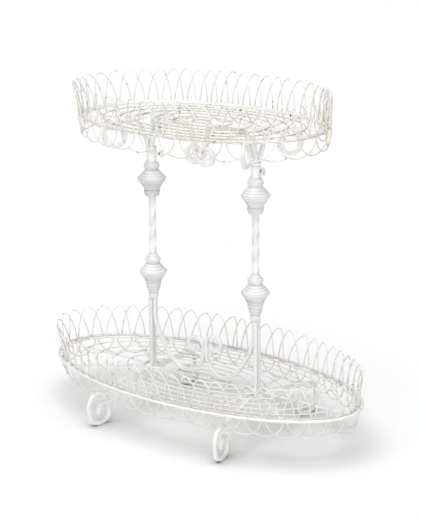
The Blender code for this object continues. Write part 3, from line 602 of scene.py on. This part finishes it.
def paint_with_wear_and_painted_shade(
    name, white, tint, tint_share, chip_level, rust_share, roughness, groove_pitch=0.0,
    warmer_right=False,
):
    """Thick white paint, tinted unevenly by rust below, chipped through in small dark spots.

    Seams and corners are darkened with painted shade, and turned grooves at a pitch along Z with
    painted shade and a bump. The tint may grow towards the stand's right end.
    """
    material = bpy.data.materials.new(name)
    material.use_nodes = True
    tree = material.node_tree
    shader = tree.nodes["Principled BSDF"]
    place = node_of(tree, "ShaderNodeTexCoord").outputs["Object"]
    medium = noise_of(tree, place, *MOTTLE_NOISE)
    grain = noise_of(tree, place, *GRAIN_NOISE)
    spots = noise_of(tree, place, *SPOT_NOISE)
    stains = noise_of(tree, place, *STAIN_NOISE)

    staining = ramp_of(tree, stains, ((STAIN_START, 0.0), (STAIN_END, tint_share)))
    if warmer_right:
        staining = shaded(tree, staining, warmth_of(tree, place))
    colour = mix_of(tree, staining, white, tint)
    colour = shaded(tree, colour, ramp_of(tree, medium, MOTTLING))
    # Painted shade: darker in seams, corners and between bundled bars, where parts are near.
    colour = shaded(tree, colour, ramp_of(tree, painted_shade_of_nearness(tree, NEARNESS_SHADE_REACH), PAINTED_SHADE_IN_SEAMS))
    # Painted shade in the turned grooves, which the bump also sinks.
    if groove_pitch:
        grooves = painted_groove_shade_of(tree, place, groove_pitch)
        colour = shaded(tree, colour, grooves)
        grain = mix_of(tree, GROOVE_BUMP_SHARE, grain, grooves)

    patches = ramp_of(tree, noise_of(tree, place, *PATCH_NOISE), CHIPPED_PATCHES)
    chips = ramp_of(tree, spots, ((chip_level, 0.0), (chip_level + CHIP_EDGE, 1.0)))
    chips = shaded(tree, chips, patches)
    halo = ramp_of(tree, spots, ((chip_level - HALO_WIDTH, 0.0), (chip_level, rust_share)))
    halo = shaded(tree, halo, patches)
    colour = mix_of(tree, halo, colour, RUST)
    colour = mix_of(tree, chips, colour, BARE_IRON)
    tree.links.new(colour, shader.inputs["Base Color"])

    rough = mix_of(tree, chips, (roughness,) * 3, (BARE_ROUGHNESS,) * 3)
    rough = mix_of(tree, MOTTLED_ROUGHNESS_SHARE, rough, medium)
    tree.links.new(rough, shader.inputs["Roughness"])
    height = mix_of(tree, chips, grain, (0.0,) * 3)
    bump = node_of(tree, "ShaderNodeBump", in_Strength=BUMP_SHARE, in_Distance=BUMP_DEPTH)
    tree.links.new(height, bump.inputs["Height"])
    tree.links.new(bump.outputs["Normal"], shader.inputs["Normal"])
    return material


LOWER_WIRE = paint_with_wear_and_painted_shade(
    "lower_wire_worn", (0.85, 0.845, 0.825), (0.78, 0.73, 0.65), 0.45, 0.64, 0.6, 0.5
)
UPPER_WIRE = paint_with_wear_and_painted_shade(
    "upper_wire_worn", (0.86, 0.85, 0.825), (0.77, 0.70, 0.585), 0.8, 0.64, 0.8, 0.5,
    warmer_right=True,
)
LOWER_RIM_PAINT = paint_with_wear_and_painted_shade(
    "lower_rim_worn", (0.86, 0.855, 0.83), (0.80, 0.765, 0.70), 0.35, 0.65, 0.6, 0.42
)
UPPER_RIM_PAINT = paint_with_wear_and_painted_shade(
    "upper_rim_worn", (0.89, 0.88, 0.85), (0.81, 0.745, 0.64), 0.6, 0.65, 0.7, 0.45,
    warmer_right=True,
)
UPPER_FLOOR_PAINT = paint_with_wear_and_painted_shade(
    "upper_floor_worn", (0.76, 0.74, 0.70), (0.62, 0.55, 0.47), 0.7, 0.61, 0.8, 0.55
)
BAR_PAINT = paint_with_wear_and_painted_shade("bar_wear_and_painted_shade", (0.88, 0.88, 0.875), (0.81, 0.79, 0.755), 0.4, 0.68, 0.5, 0.42)
CASTING_PAINT = paint_with_wear_and_painted_shade(
    "casting_worn", (0.86, 0.865, 0.865), (0.80, 0.79, 0.77), 0.3, 0.71, 0.4, 0.38
)
TWISTED_PAINT = paint_with_wear_and_painted_shade(
    "twisted_worn", (0.89, 0.89, 0.885), (0.83, 0.82, 0.80), 0.3, 0.71, 0.4, 0.38
)
BOSS_PAINT = paint_with_wear_and_painted_shade(
    "boss_wear_and_painted_shade", (0.85, 0.85, 0.845), (0.80, 0.79, 0.77), 0.3, 0.70, 0.4, 0.4, BOSS_GROOVE_PITCH
)
# A greyer copy of the boss paint: painted shade on the left upper boss.
LEFT_BOSS_PAINTED_SHADE = paint_with_wear_and_painted_shade(
    "shaded_worn", (0.74, 0.75, 0.76), (0.70, 0.70, 0.70), 0.3, 0.70, 0.4, 0.4, BOSS_GROOVE_PITCH
)
WING_PAINT = paint_with_wear_and_painted_shade("wing_wear_and_painted_shade", (0.86, 0.85, 0.84), (0.62, 0.58, 0.55), 0.6, 0.60, 0.6, 0.45)
SHANK_METAL = paint_with_wear_and_painted_shade("shank_wear_and_painted_shade", (0.16, 0.14, 0.13), (0.09, 0.07, 0.06), 0.9, 0.60, 0.6, 0.6)


# Camera, fitted to the photo: angles in radians, and the focal length and middle in its pixels
CAMERA_AZIMUTH = 0.64827
CAMERA_ELEVATION = 0.27325
CAMERA_ROLL = -0.00733
CAMERA_DISTANCE = 3.0
CAMERA_TARGET = Vector((0.0, 0.0, 0.35))
CAMERA_NEAR = 0.1
CAMERA_FAR = 50.0
FOCAL_PIXELS = 1561.8
PRINCIPAL_POINT = (202.9, 248.6)
PHOTO_SIZE = (421, 518)
SENSOR_MILLIMETRES = 36.0


def camera_axes():
    """Forward, right and up, as unit vectors."""
    azimuth, elevation, roll = CAMERA_AZIMUTH, CAMERA_ELEVATION, CAMERA_ROLL
    forward = Vector(
        (
            -math.sin(azimuth) * math.cos(elevation),
            math.cos(azimuth) * math.cos(elevation),
            -math.sin(elevation),
        )
    )
    right = Vector((math.cos(azimuth), math.sin(azimuth), 0.0))
    up = right.cross(forward)
    return (
        forward,
        math.cos(roll) * right + math.sin(roll) * up,
        math.cos(roll) * up - math.sin(roll) * right,
    )


def photo_x(place):
    """The photo's x of a point."""
    forward, right, _ = camera_axes()
    away = Vector(place) - (CAMERA_TARGET - CAMERA_DISTANCE * forward)
    return PRINCIPAL_POINT[0] + FOCAL_PIXELS * away.dot(right) / away.dot(forward)


def camera():
    forward, right, up = camera_axes()
    data = bpy.data.cameras.new("camera")
    long_side = max(PHOTO_SIZE)
    data.sensor_fit = "AUTO"
    data.sensor_width = SENSOR_MILLIMETRES
    data.lens = FOCAL_PIXELS * data.sensor_width / long_side
    data.shift_x = (PHOTO_SIZE[0] / 2 - PRINCIPAL_POINT[0]) / long_side
    data.shift_y = (PRINCIPAL_POINT[1] - PHOTO_SIZE[1] / 2) / long_side
    data.clip_start = CAMERA_NEAR
    data.clip_end = CAMERA_FAR
    place = bpy.data.objects.new("camera", data)
    axes = Matrix((right, up, -forward)).transposed().to_4x4()
    place.matrix_world = Matrix.Translation(CAMERA_TARGET - CAMERA_DISTANCE * forward) @ axes
    bpy.context.scene.collection.objects.link(place)
    bpy.context.scene.camera = place


# Looped wires
class Tier(NamedTuple):
    """One basket: its place, its counts and shapes, and its paints."""

    name: str
    body: str
    oval: Oval
    rim_height: float
    peaks_x: tuple
    front_arches: int
    arch_lengths: tuple
    upright_share: float
    bent_arches: tuple
    scallop_stations: list
    ovals_outside: int
    wire_paint: bpy.types.Material
    rim_paint: bpy.types.Material
    floor_paint: bpy.types.Material
    seed: int


def loops(
    oval, stations, span, heights, level, rise, pointing, reach_share, lean, upright_share=0.0
):
    """One wire that loops at each station, each side passing inside or outside of its neighbours.

    Towards the right end the loops lean less, by the upright share.
    """
    points = []
    for index in span:
        station = stations[index % len(stations)]
        before = (station - stations[(index - 1) % len(stations)]) % oval.perimeter
        after = (stations[(index + 1) % len(stations)] - station) % oval.perimeter
        for degrees in np.linspace(-90, 90, LOOP_STEPS + 1):
            angle = math.radians(degrees)
            pitch = before if degrees < 0 else after
            along = station + reach_share * pitch * math.sin(angle)
            height_share = max(math.cos(angle), 0.0) ** pointing
            right_share = max(oval.at(along, 0.0)[0] / oval.half_length, 0.0)
            inset = (
                oval.strand_inset
                - STRAND_SPREAD / 2 * math.sin(angle)
                - lean * (1 - upright_share * right_share) * height_share**2
            )
            x, y = oval.at(along, inset)
            height = level + rise * heights[index % len(stations)] * height_share
            points.append((x, y, height))
    return points


def arch_stations(tier):
    """Arches where the photo has them round the rear, and evenly spaced round the front."""
    oval = tier.oval
    inset = oval.strand_inset - ARCH_FLARE
    lengths = np.linspace(0, REAR_SEARCH_SHARE * oval.perimeter, REAR_SEARCH_STEPS)
    tips = [(*oval.at(length, inset), tier.rim_height + ARCH_HEIGHT) for length in lengths]
    across = np.array([photo_x(tip) for tip in tips])
    first, last = np.argmax(across), np.argmin(across)
    rear = np.interp(
        [-x for x in tier.peaks_x], -across[first : last + 1], lengths[first : last + 1]
    )
    gap = oval.perimeter - (rear[-1] - rear[0])
    front = rear[-1] + gap * np.arange(1, tier.front_arches) / tier.front_arches
    return [float(length) for length in (*rear, *front)]


def arches(tier):
    level = tier.rim_height + WIRE_RADIUS + CLEARANCE / 2
    stations = arch_stations(tier)
    random = np.random.default_rng(tier.seed)
    heights = 1 - np.abs(random.uniform(-1, 1, len(stations))) * HEIGHT_JITTER_SHARE
    for index, height_share in tier.bent_arches:
        heights[index] *= height_share
    all_round = len(tier.arch_lengths) == 1
    share = len(stations) / len(tier.arch_lengths)
    for place, length_name in enumerate(tier.arch_lengths):
        first = round((place - 1 / 2) * share)
        last = round((place + 1 / 2) * share)
        span = range(len(stations)) if all_round else range(first, last)
        points = loops(
            tier.oval, stations, span, heights, level, ARCH_HEIGHT, ARCH_POINTING,
            ARCH_REACH_SHARE, ARCH_FLARE, tier.upright_share,
        )
        wire_piece(
            f"{tier.name}_{length_name}arches", points, SHOWN_WIRE_RADIUS, LOOP_SIDES,
            tier.wire_paint, tier.body, closed=all_round,
        )


def scallops(tier):
    level = tier.rim_height - WIRE_RADIUS - CLEARANCE / 2
    stations = tier.scallop_stations
    points = loops(
        tier.oval, stations, range(len(stations)), [1.0] * len(stations), level, -SCALLOP_DEPTH,
        SCALLOP_POINTING, SCALLOP_REACH_SHARE, -SCALLOP_TUCK,
    )
    wire_piece(
        f"{tier.name}_scallops", points, SHOWN_WIRE_RADIUS, LOOP_SIDES, tier.wire_paint, tier.body
    )


def wire_piece(node, points, radius, sides, material, body, closed=True):
    shell = Shell()
    add_sweep(shell, points, round_section(radius, sides), closed=closed)
    slot = "upper_wire_paint" if body == "upper_tier" else "lower_wire_paint"
    shell.piece(f"{node}_wire", material, body, [node], slot)


def lower_scallop_stations():
    """Scallops spaced so that each foot's bar passes under the middle of one."""
    start, bearing = leg_start(1, 1, LOWER_FOOT_X, LOWER_FOOT_Y)
    corner = LOWER_OVAL.crossing(start, bearing, LOWER_OVAL.strand_inset)[1]
    half = LOWER_OVAL.perimeter / 2
    stations = []
    for turn in (0, half):
        end_pitch = 2 * corner / LOWER_END_SCALLOPS
        side_pitch = (half - 2 * corner) / LOWER_SIDE_SCALLOPS
        stations += [turn - corner + end_pitch * step for step in range(LOWER_END_SCALLOPS)]
        stations += [turn + corner + side_pitch * step for step in range(LOWER_SIDE_SCALLOPS)]
    return stations


def floor_ovals(tier):
    oval = tier.oval
    underside = levels_of(tier.rim_height)[0]
    outer_length = oval.half_length - oval.ring_inset
    outer_depth = oval.half_depth - oval.ring_inset
    inner_spacing = POST_X / OVALS_INSIDE_COUNT
    outer_spacing = (outer_length - POST_X) / (tier.ovals_outside + 1 / 2)
    half_lengths = [inner_spacing * (step + 1 / 2) for step in range(OVALS_INSIDE_COUNT)]
    half_lengths += [
        POST_X + outer_spacing * (step + 1 / 2) for step in range(tier.ovals_outside)
    ]
    for index, half_length in enumerate(half_lengths):
        inner = Oval(half_length, half_length * outer_depth / outer_length, oval.round_share)
        count = FLOOR_OVAL_POINTS + MORE_OVAL_POINTS * index
        points = inner.ring(count, 0.0, underside + WIRE_RADIUS)
        wire_piece(
            f"{tier.name}_floor_oval_{index + 1}", points, SHOWN_WIRE_RADIUS, FLOOR_OVAL_SIDES,
            tier.floor_paint, tier.body,
        )


def basket(tier):
    underside = levels_of(tier.rim_height)[0]
    points = tier.oval.ring(RIM_POINTS, 0.0, tier.rim_height)
    wire_piece(f"{tier.name}_rim", points, RIM_RADIUS, RIM_SIDES, tier.rim_paint, tier.body)
    points = tier.oval.ring(RIM_POINTS, tier.oval.ring_inset, underside + FLOOR_RING_RADIUS)
    wire_piece(
        f"{tier.name}_floor_ring", points, FLOOR_RING_RADIUS, FLOOR_RING_SIDES, tier.rim_paint,
        tier.body,
    )
    arches(tier)
    scallops(tier)
    floor_ovals(tier)


# Floor frames
def add_flat_bar(shell, start, bearing, length, top):
    middle = top - FLAT_BAR_THICKNESS / 2
    along = np.array([math.cos(bearing), math.sin(bearing), 0.0])
    points = np.array([(*start, middle)]) + along * np.linspace(0, length, FLAT_BAR_POINTS)[:, None]
    section = rounded_rectangle(
        FLAT_BAR_WIDTH, FLAT_BAR_THICKNESS, FLAT_BAR_CORNER, CORNER_STEPS
    )
    across = np.array([-along[1], along[0], 0.0])
    frames = tuple(np.tile(way, (FLAT_BAR_POINTS, 1)) for way in (across, (0.0, 0.0, 1.0)))
    add_sweep(shell, points, section, frames=frames)


def add_washer(shell, x, inner, outer, top):
    """A flat ring round a post, or a disc where it has no bore."""
    top -= WASHER_EASE
    bottom = top + 2 * WASHER_EASE - FLAT_BAR_THICKNESS
    ease = FLAT_BAR_THICKNESS / 4
    profile = [(inner, top), (outer - ease, top), (outer, top - ease)]
    profile += [(outer, bottom + ease), (outer - ease, bottom), (inner, bottom)]
    add_lathe(shell, profile, x, closed=inner > 0)


def add_lathe(shell, profile, x, closed=False):
    """A turned shape round an upright axis; its outer side runs from top to bottom."""
    profile = np.asarray(profile, float)
    angles = np.arange(LATHE_STEPS) * math.tau / LATHE_STEPS
    flat = np.zeros(LATHE_STEPS)
    rings = np.stack(
        [
            np.column_stack([x + radius * np.cos(angles), radius * np.sin(angles), flat + height])
            for radius, height in profile
        ]
    )
    faces = [tuple(reversed(face)) for face in grid_faces(len(profile), LATHE_STEPS, closed)]
    shell.add(rings.reshape(-1, 3), faces)


def floor_frame(tier, hub_radius, hub_bore):
    """Flat bars from a ring or disc at each post, out to the floor ring and in to the middle."""
    shell = Shell()
    top = levels_of(tier.rim_height)[1]
    diagonal = math.radians(DIAGONAL_BEARING)
    inner = hub_radius - BAR_IN_HUB
    for _, side in SIDES:
        post = (side * POST_X, 0.0)
        for angle in (0.0, diagonal, -diagonal, math.pi / 2, -math.pi / 2, math.pi):
            bearing = angle if side > 0 else math.pi - angle
            start = np.array(post) + np.array([math.cos(bearing), math.sin(bearing)]) * inner
            if angle == math.pi:
                reach = POST_X
            else:
                reach = tier.oval.crossing(post, bearing, tier.oval.bar_end_inset)[0]
            add_flat_bar(shell, start, bearing, reach - inner, top)
        add_washer(shell, side * POST_X, hub_bore, hub_radius, top)
    node = f"{tier.name}_floor_frame"
    shell.piece(f"{node}_bars", BAR_PAINT, tier.body, [node], "bar_paint")


# Square bars
def leg_turn(foot_x, foot_y):
    return math.atan2(foot_x - POST_X, foot_y)


def cluster_offsets(foot_x, foot_y):
    """How far the legs stand out from the post's axis, along X and along Y, to clear each other."""
    turn = leg_turn(foot_x, foot_y)
    half_span = BAR_SIDE / 2 * (math.cos(turn) + math.sin(turn))
    across = half_span + CLEARANCE / 2
    along = (half_span + BAR_SIDE / 2 + CLEARANCE) / 2
    return along, across, half_span


def leg_start(side, end, foot_x, foot_y):
    along, across, _ = cluster_offsets(foot_x, foot_y)
    start = (side * (POST_X + along), end * across)
    bearing = math.atan2(end * foot_y - start[1], side * foot_x - start[0])
    return start, bearing


def square_bar(node, outline, origin, bearing, body, floor=None):
    """A square bar with worn edges along an (outward, height) outline."""
    outline = np.asarray(outline, float)
    outward = np.array([math.cos(bearing), math.sin(bearing), 0.0])
    points = np.array([(*origin, 0.0)]) + outline[:, :1] * outward
    points[:, 2] += outline[:, 1]
    tangents = tangents_of(points, False)
    sideways = np.cross(outward, (0.0, 0.0, 1.0))
    binormals = np.tile(sideways, (len(points), 1))
    normals = np.cross(binormals, tangents)
    shell = Shell()
    section = rounded_rectangle(BAR_SIDE, BAR_SIDE, BAR_CORNER, CORNER_STEPS)
    add_sweep(shell, points, section, frames=(normals, binormals))
    piece = shell.piece(f"{node}_bar", BAR_PAINT, body, [node], "bar_paint")
    if floor is not None:
        for vertex in piece.data.vertices:
            vertex.co.z = max(vertex.co.z, floor)


def foot_outline(shares, centre, bottom, top):
    """A curled foot, with its shares taken from a centre and scaled by its height."""
    height = top - bottom
    run = smooth([(centre + out * height, bottom + up * height) for out, up in shares], CURVE_STEPS)
    return [(out, max(up, bottom)) for out, up in run]


def lower_hub_bore():
    """The bore of the rings round the posts, which clears the legs where they turn out."""
    along, across, half_span = cluster_offsets(LOWER_FOOT_X, LOWER_FOOT_Y)
    inside = ELBOW_RADIUS * math.cos(math.pi / 4 / ELBOW_FACETS) - BAR_SIDE / 2
    above = ELBOW_LEVEL + ELBOW_RADIUS - LOWER_FRAME_BOTTOM
    reach = ELBOW_RADIUS - math.sqrt(inside**2 - above**2)
    return math.hypot(along + half_span, across + reach) + 2 * CLEARANCE


def straight(start, end, steps):
    """Evenly spaced points from start to end."""
    shares = np.linspace(0, 1, steps + 1)[:, None]
    return (1 - shares) * np.asarray(start) + shares * np.asarray(end)


def lower_leg(side_name, side, end_name, end):
    start, bearing = leg_start(side, end, LOWER_FOOT_X, LOWER_FOOT_Y)
    run = math.hypot(side * LOWER_FOOT_X - start[0], end * LOWER_FOOT_Y - start[1])
    outline = list(straight((0.0, LEG_TOP), (0.0, ELBOW_LEVEL + ELBOW_RADIUS), LEG_STEPS))[:-1]
    for step in range(ELBOW_STEPS + 1):
        angle = math.pi / 2 * step / ELBOW_STEPS
        out = ELBOW_RADIUS * (1 - math.cos(angle))
        outline.append((out, ELBOW_LEVEL + ELBOW_RADIUS * (1 - math.sin(angle))))
    foot = foot_outline(LOWER_FOOT_SHARES, run, BAR_SIDE / 2, LOWER_FOOT_TOP)
    outline += list(straight(outline[-1], foot[0], LOWER_RUN_STEPS))[1:-1]
    outline += foot
    square_bar(f"lower_{side_name}_{end_name}_leg", outline, start, bearing, "root", 0.0)


def splay(top):
    """How an upper bar leaves the peg: up, then outwards under the floor frame."""
    rise = top - UPPER_LEG_BOTTOM
    shares = smooth(SPLAY_SHARES, CURVE_STEPS)
    return [(SPLAY_WIDTH * out, UPPER_LEG_BOTTOM + rise * up) for out, up in shares]


def upper_leg(side_name, side, end_name, end):
    start, bearing = leg_start(side, end, UPPER_FOOT_X, UPPER_FOOT_Y)
    run = math.hypot(side * UPPER_FOOT_X - start[0], end * UPPER_FOOT_Y - start[1])
    top = UPPER_FRAME_BOTTOM - CLEARANCE - BAR_SIDE / 2
    outline = splay(top)
    foot = foot_outline(UPPER_FOOT_SHARES, run, UPPER_FOOT_BOTTOM + BAR_SIDE / 2, top)
    outline += list(straight(outline[-1], foot[0], UPPER_RUN_STEPS))[1:-1]
    outline += foot
    name = f"upper_{side_name}_{end_name}_leg"
    square_bar(name, outline, start, bearing, "upper_tier")


def lower_scroll(side_name, side, curl_share):
    inner = (BAR_SIDE + CLEARANCE) / 2
    outer = POST_X - cluster_offsets(LOWER_FOOT_X, LOWER_FOOT_Y)[0]
    curl_inner = inner + side * LOWER_SCROLL_MIDDLE_X
    bottom = LOWER_FLOOR + 2 * WIRE_RADIUS + CLEARANCE + BAR_SIDE / 2 + LOWER_SCROLL_RISE
    rise = LEG_TOP - bottom
    points = [
        (inner + (outer - inner) * out, bottom + rise * up) for out, up in LOWER_SWEEP_SHARES
    ]
    points += [
        (curl_inner + (outer - inner) * out, bottom + rise * curl_share * up)
        for out, up in LOWER_CURL_SHARES
    ]
    run = smooth(points, CURVE_STEPS)
    outline = [(min(max(out, curl_inner), outer), height) for out, height in run]
    bearing = 0.0 if side > 0 else math.pi
    square_bar(f"lower_{side_name}_scroll", outline, (0.0, 0.0), bearing, "root")


def upper_scroll(side_name, side):
    outer = POST_X - cluster_offsets(UPPER_FOOT_X, UPPER_FOOT_Y)[0]
    top = UPPER_FRAME_BOTTOM - CLEARANCE - BAR_SIDE / 2
    middle = side * UPPER_SCROLL_MIDDLE_X
    outline = [(outer - out, height) for out, height in splay(top)]
    drop = [
        (middle + UPPER_DROP_X * out, top - (top - UPPER_DROP_BOTTOM) * down)
        for out, down in UPPER_DROP_SHARES
    ]
    for degrees in UPPER_RING_ANGLES:
        angle = math.radians(degrees)
        out = middle - UPPER_RING_X + UPPER_RING_RADIUS * math.cos(angle)
        drop.append((out, UPPER_RING_HEIGHT + UPPER_RING_RADIUS * math.sin(angle)))
    outline += list(straight(outline[-1], drop[0], UPPER_RUN_STEPS))[1:-1]
    outline += list(smooth(drop, DROP_STEPS))
    bearing = 0.0 if side > 0 else math.pi
    plane = side * (BAR_SIDE + CLEARANCE) / 2
    square_bar(f"upper_{side_name}_scroll", outline, (0.0, plane), bearing, "upper_tier")


# Posts
def turned(node, profile, x, body="root", closed=False, material=CASTING_PAINT):
    shell = Shell()
    add_lathe(shell, profile, x, closed)
    shell.piece(f"{node}_turning", material, body, [node], "casting_paint")


def scaled_profile(shares, radius, height, bottom):
    return [(radius * across, bottom + height * up) for across, up in shares]


def twisted_bar(side_name, side):
    heights = np.linspace(0, TWISTED_BAR_LENGTH, TWIST_STEPS + 1)
    flat = np.zeros(TWIST_STEPS + 1)
    points = np.column_stack([flat + side * POST_X, flat, TWISTED_BAR_BOTTOM + heights])
    angles = math.tau * TWISTED_BAR_TURNS * heights / TWISTED_BAR_LENGTH
    normals = np.column_stack([np.cos(angles), np.sin(angles), flat])
    binormals = np.column_stack([-np.sin(angles), np.cos(angles), flat])
    shell = Shell()
    section = rounded_rectangle(
        TWISTED_BAR_SIDE, TWISTED_BAR_SIDE, TWISTED_BAR_CORNER, TWIST_CORNER_STEPS
    )
    add_sweep(shell, points, section, frames=(normals, binormals))
    node = f"{side_name}_twisted_bar"
    shell.piece(f"{node}_twist", TWISTED_PAINT, "root", [node], "casting_paint")


def upper_boss_profile():
    """The turned outside, and the bore that takes the peg."""
    bore = [
        (0.0, PEG_BOTTOM), (TUBE_BORE_RADIUS, PEG_BOTTOM),
        (TUBE_BORE_RADIUS, UPPER_BOSS_BOTTOM + UPPER_BOSS_HEIGHT),
    ]
    return bore + scaled_profile(
        UPPER_BOSS_SHARES, UPPER_BOSS_RADIUS, UPPER_BOSS_HEIGHT, UPPER_BOSS_BOTTOM
    )


def tube_profile(ease):
    return [
        (TUBE_BORE_RADIUS, TUBE_TOP), (TUBE_RADIUS - ease, TUBE_TOP),
        (TUBE_RADIUS, TUBE_TOP - ease), (TUBE_RADIUS, TUBE_BOTTOM),
        (TUBE_BORE_RADIUS, TUBE_BOTTOM),
    ]


def peg_profile(ease):
    return [
        (0.0, PEG_TOP), (PEG_SHOULDER_RADIUS - ease, PEG_TOP),
        (PEG_SHOULDER_RADIUS, PEG_TOP - ease),
        (PEG_SHOULDER_RADIUS, PEG_SHOULDER_BOTTOM), (PEG_RADIUS, PEG_SHOULDER_BOTTOM),
        (PEG_RADIUS, PEG_BOTTOM + 2 * ease), (PEG_RADIUS - 2 * ease, PEG_BOTTOM),
        (0.0, PEG_BOTTOM),
    ]


def post(side_name, side):
    x = side * POST_X
    ease = TUBE_WALL / 4
    collar = scaled_profile(COLLAR_SHARES, COLLAR_RADIUS, COLLAR_HEIGHT, COLLAR_BOTTOM)
    turned(f"{side_name}_collar", collar, x)
    lower = scaled_profile(
        LOWER_BOSS_SHARES, LOWER_BOSS_RADIUS, LOWER_BOSS_HEIGHT, LOWER_BOSS_BOTTOM
    )
    turned(f"{side_name}_lower_boss", lower, x, material=BOSS_PAINT)
    twisted_bar(side_name, side)
    # The left upper boss is given painted shade by a greyer copy of its paint.
    paint = LEFT_BOSS_PAINTED_SHADE if side < 0 else BOSS_PAINT
    turned(f"{side_name}_upper_boss", upper_boss_profile(), x, material=paint)
    turned(f"{side_name}_socket_tube", tube_profile(ease), x, closed=True)
    turned(f"upper_{side_name}_peg", peg_profile(ease), x, "upper_tier")


def screw_paints():
    """The clamp bosses and thumb screws keep their solids and get worn paints with painted shade."""
    paints = {"clamp_boss": CASTING_PAINT, "screw_shank": SHANK_METAL, "screw_wing": WING_PAINT}
    for side_name, _ in SIDES:
        for part, paint in paints.items():
            materials = frame["nodes"][f"{side_name}_{part}"].data.materials
            materials.clear()
            materials.append(paint)


def stand():
    lower = Tier(
        name="lower", body="root", oval=LOWER_OVAL, rim_height=LOWER_RIM_HEIGHT,
        peaks_x=LOWER_PEAKS_X, front_arches=LOWER_FRONT_ARCHES, arch_lengths=LOWER_ARCH_LENGTHS,
        upright_share=LOWER_UPRIGHT_SHARE, bent_arches=LOWER_BENT_ARCHES,
        scallop_stations=lower_scallop_stations(), ovals_outside=LOWER_OVALS_OUTSIDE,
        wire_paint=LOWER_WIRE, rim_paint=LOWER_RIM_PAINT, floor_paint=LOWER_WIRE, seed=LOWER_SEED,
    )
    upper = Tier(
        name="upper", body="upper_tier", oval=UPPER_OVAL, rim_height=UPPER_RIM_HEIGHT,
        peaks_x=UPPER_PEAKS_X, front_arches=UPPER_FRONT_ARCHES, arch_lengths=UPPER_ARCH_LENGTHS,
        upright_share=UPPER_UPRIGHT_SHARE, bent_arches=(),
        scallop_stations=UPPER_OVAL.evenly(UPPER_SCALLOP_COUNT), ovals_outside=UPPER_OVALS_OUTSIDE,
        wire_paint=UPPER_WIRE, rim_paint=UPPER_RIM_PAINT, floor_paint=UPPER_FLOOR_PAINT,
        seed=UPPER_SEED,
    )
    basket(lower)
    basket(upper)
    bore = lower_hub_bore()
    floor_frame(lower, bore + HUB_RING_WIDTH, bore)
    floor_frame(upper, UPPER_HUB_RADIUS, 0.0)
    for (side_name, side), curl_share in zip(SIDES, (LEFT_CURL_SHARE, RIGHT_CURL_SHARE)):
        for end_name, end in ENDS:
            lower_leg(side_name, side, end_name, end)
            upper_leg(side_name, side, end_name, end)
        lower_scroll(side_name, side, curl_share)
        upper_scroll(side_name, side)
    for side_name, side in SIDES:
        post(side_name, side)
    screw_paints()


# Studio
WORLD_LIGHT = 0.10
FLOOR_HALF_SIDE = 6.0
FLOOR_ALBEDO = 0.85
FLOOR_SEEN = 0.965
# A painted shadow on the seen floor: how far the stand's nearness reaches, and how dark it gets.
FLOOR_PAINTED_SHADOW_REACH = 0.14
FLOOR_PAINTED_SHADOW_SHARE = 0.85
LIGHT_DISTANCE = 2.0

# Suns: azimuth, elevation and spread in degrees, and strength
KEY_SUN = (34.0, 9.0, 40.0, 1.72)
TOP_SUN = (0.0, 77.0, 54.0, 2.68)
FILL_SUN = (110.0, 10.0, 60.0, 0.35)


def soft_sun(name, azimuth, elevation, spread, strength):
    """A wide, even light that comes from this azimuth (0 is -Y, 90 is +X) and elevation."""
    azimuth, elevation = math.radians(azimuth), math.radians(elevation)
    data = bpy.data.lights.new(name, "SUN")
    data.angle = math.radians(spread)
    data.energy = strength
    light = bpy.data.objects.new(name, data)
    away = Vector(
        (
            math.sin(azimuth) * math.cos(elevation),
            -math.cos(azimuth) * math.cos(elevation),
            math.sin(elevation),
        )
    )
    light.rotation_euler = away.to_track_quat("Z", "Y").to_euler()
    light.location = LIGHT_DISTANCE * away
    bpy.context.scene.collection.objects.link(light)


def seen_directly(tree):
    """1 for camera, glossy and transmitted rays, 0 for the light that falls on the object."""
    path = tree.nodes.new("ShaderNodeLightPath")
    either = path.outputs["Is Camera Ray"]
    for name in ("Is Glossy Ray", "Is Transmission Ray"):
        both = node_of(tree, "ShaderNodeMath", operation="MAXIMUM")
        tree.links.new(either, both.inputs[0])
        tree.links.new(path.outputs[name], both.inputs[1])
        either = both.outputs[0]
    return either


def world():
    """White where it is seen, and dim where it lights the object."""
    sky = bpy.data.worlds.new("studio")
    bpy.context.scene.world = sky
    sky.use_nodes = True
    tree = sky.node_tree
    colour = mix_of(tree, seen_directly(tree), (WORLD_LIGHT,) * 3, (1.0, 1.0, 1.0))
    tree.links.new(colour, tree.nodes["Background"].inputs["Color"])


def floor_material():
    """Near white where it is seen, with a painted shadow that is darker close under the stand."""
    material = bpy.data.materials.new("floor")
    material.use_nodes = True
    tree = material.node_tree
    tree.nodes.remove(tree.nodes["Principled BSDF"])
    diffuse = tree.nodes.new("ShaderNodeBsdfDiffuse")
    # Painted shadow: the seen floor is darker where the stand is near.
    air = painted_shade_of_nearness(tree, FLOOR_PAINTED_SHADOW_REACH)
    seen = mix_of(tree, FLOOR_PAINTED_SHADOW_SHARE, (FLOOR_SEEN,) * 3, air, "MULTIPLY")
    colour = mix_of(tree, seen_directly(tree), (FLOOR_ALBEDO,) * 3, seen)
    tree.links.new(colour, diffuse.inputs["Color"])
    tree.links.new(diffuse.outputs[0], tree.nodes["Material Output"].inputs["Surface"])
    return material


def studio():
    world()
    mesh = bpy.data.meshes.new("floor")
    half = FLOOR_HALF_SIDE
    mesh.from_pydata(
        [(-half, -half, 0.0), (half, -half, 0.0), (half, half, 0.0), (-half, half, 0.0)],
        [], [(0, 1, 2, 3)],
    )
    mesh.materials.append(floor_material())
    floor = bpy.data.objects.new("floor", mesh)
    bpy.context.scene.collection.objects.link(floor)
    soft_sun("key", *KEY_SUN)
    soft_sun("top", *TOP_SUN)
    soft_sun("fill", *FILL_SUN)


camera()
stand()
studio()
bpy.context.scene.view_settings.view_transform = "Standard"
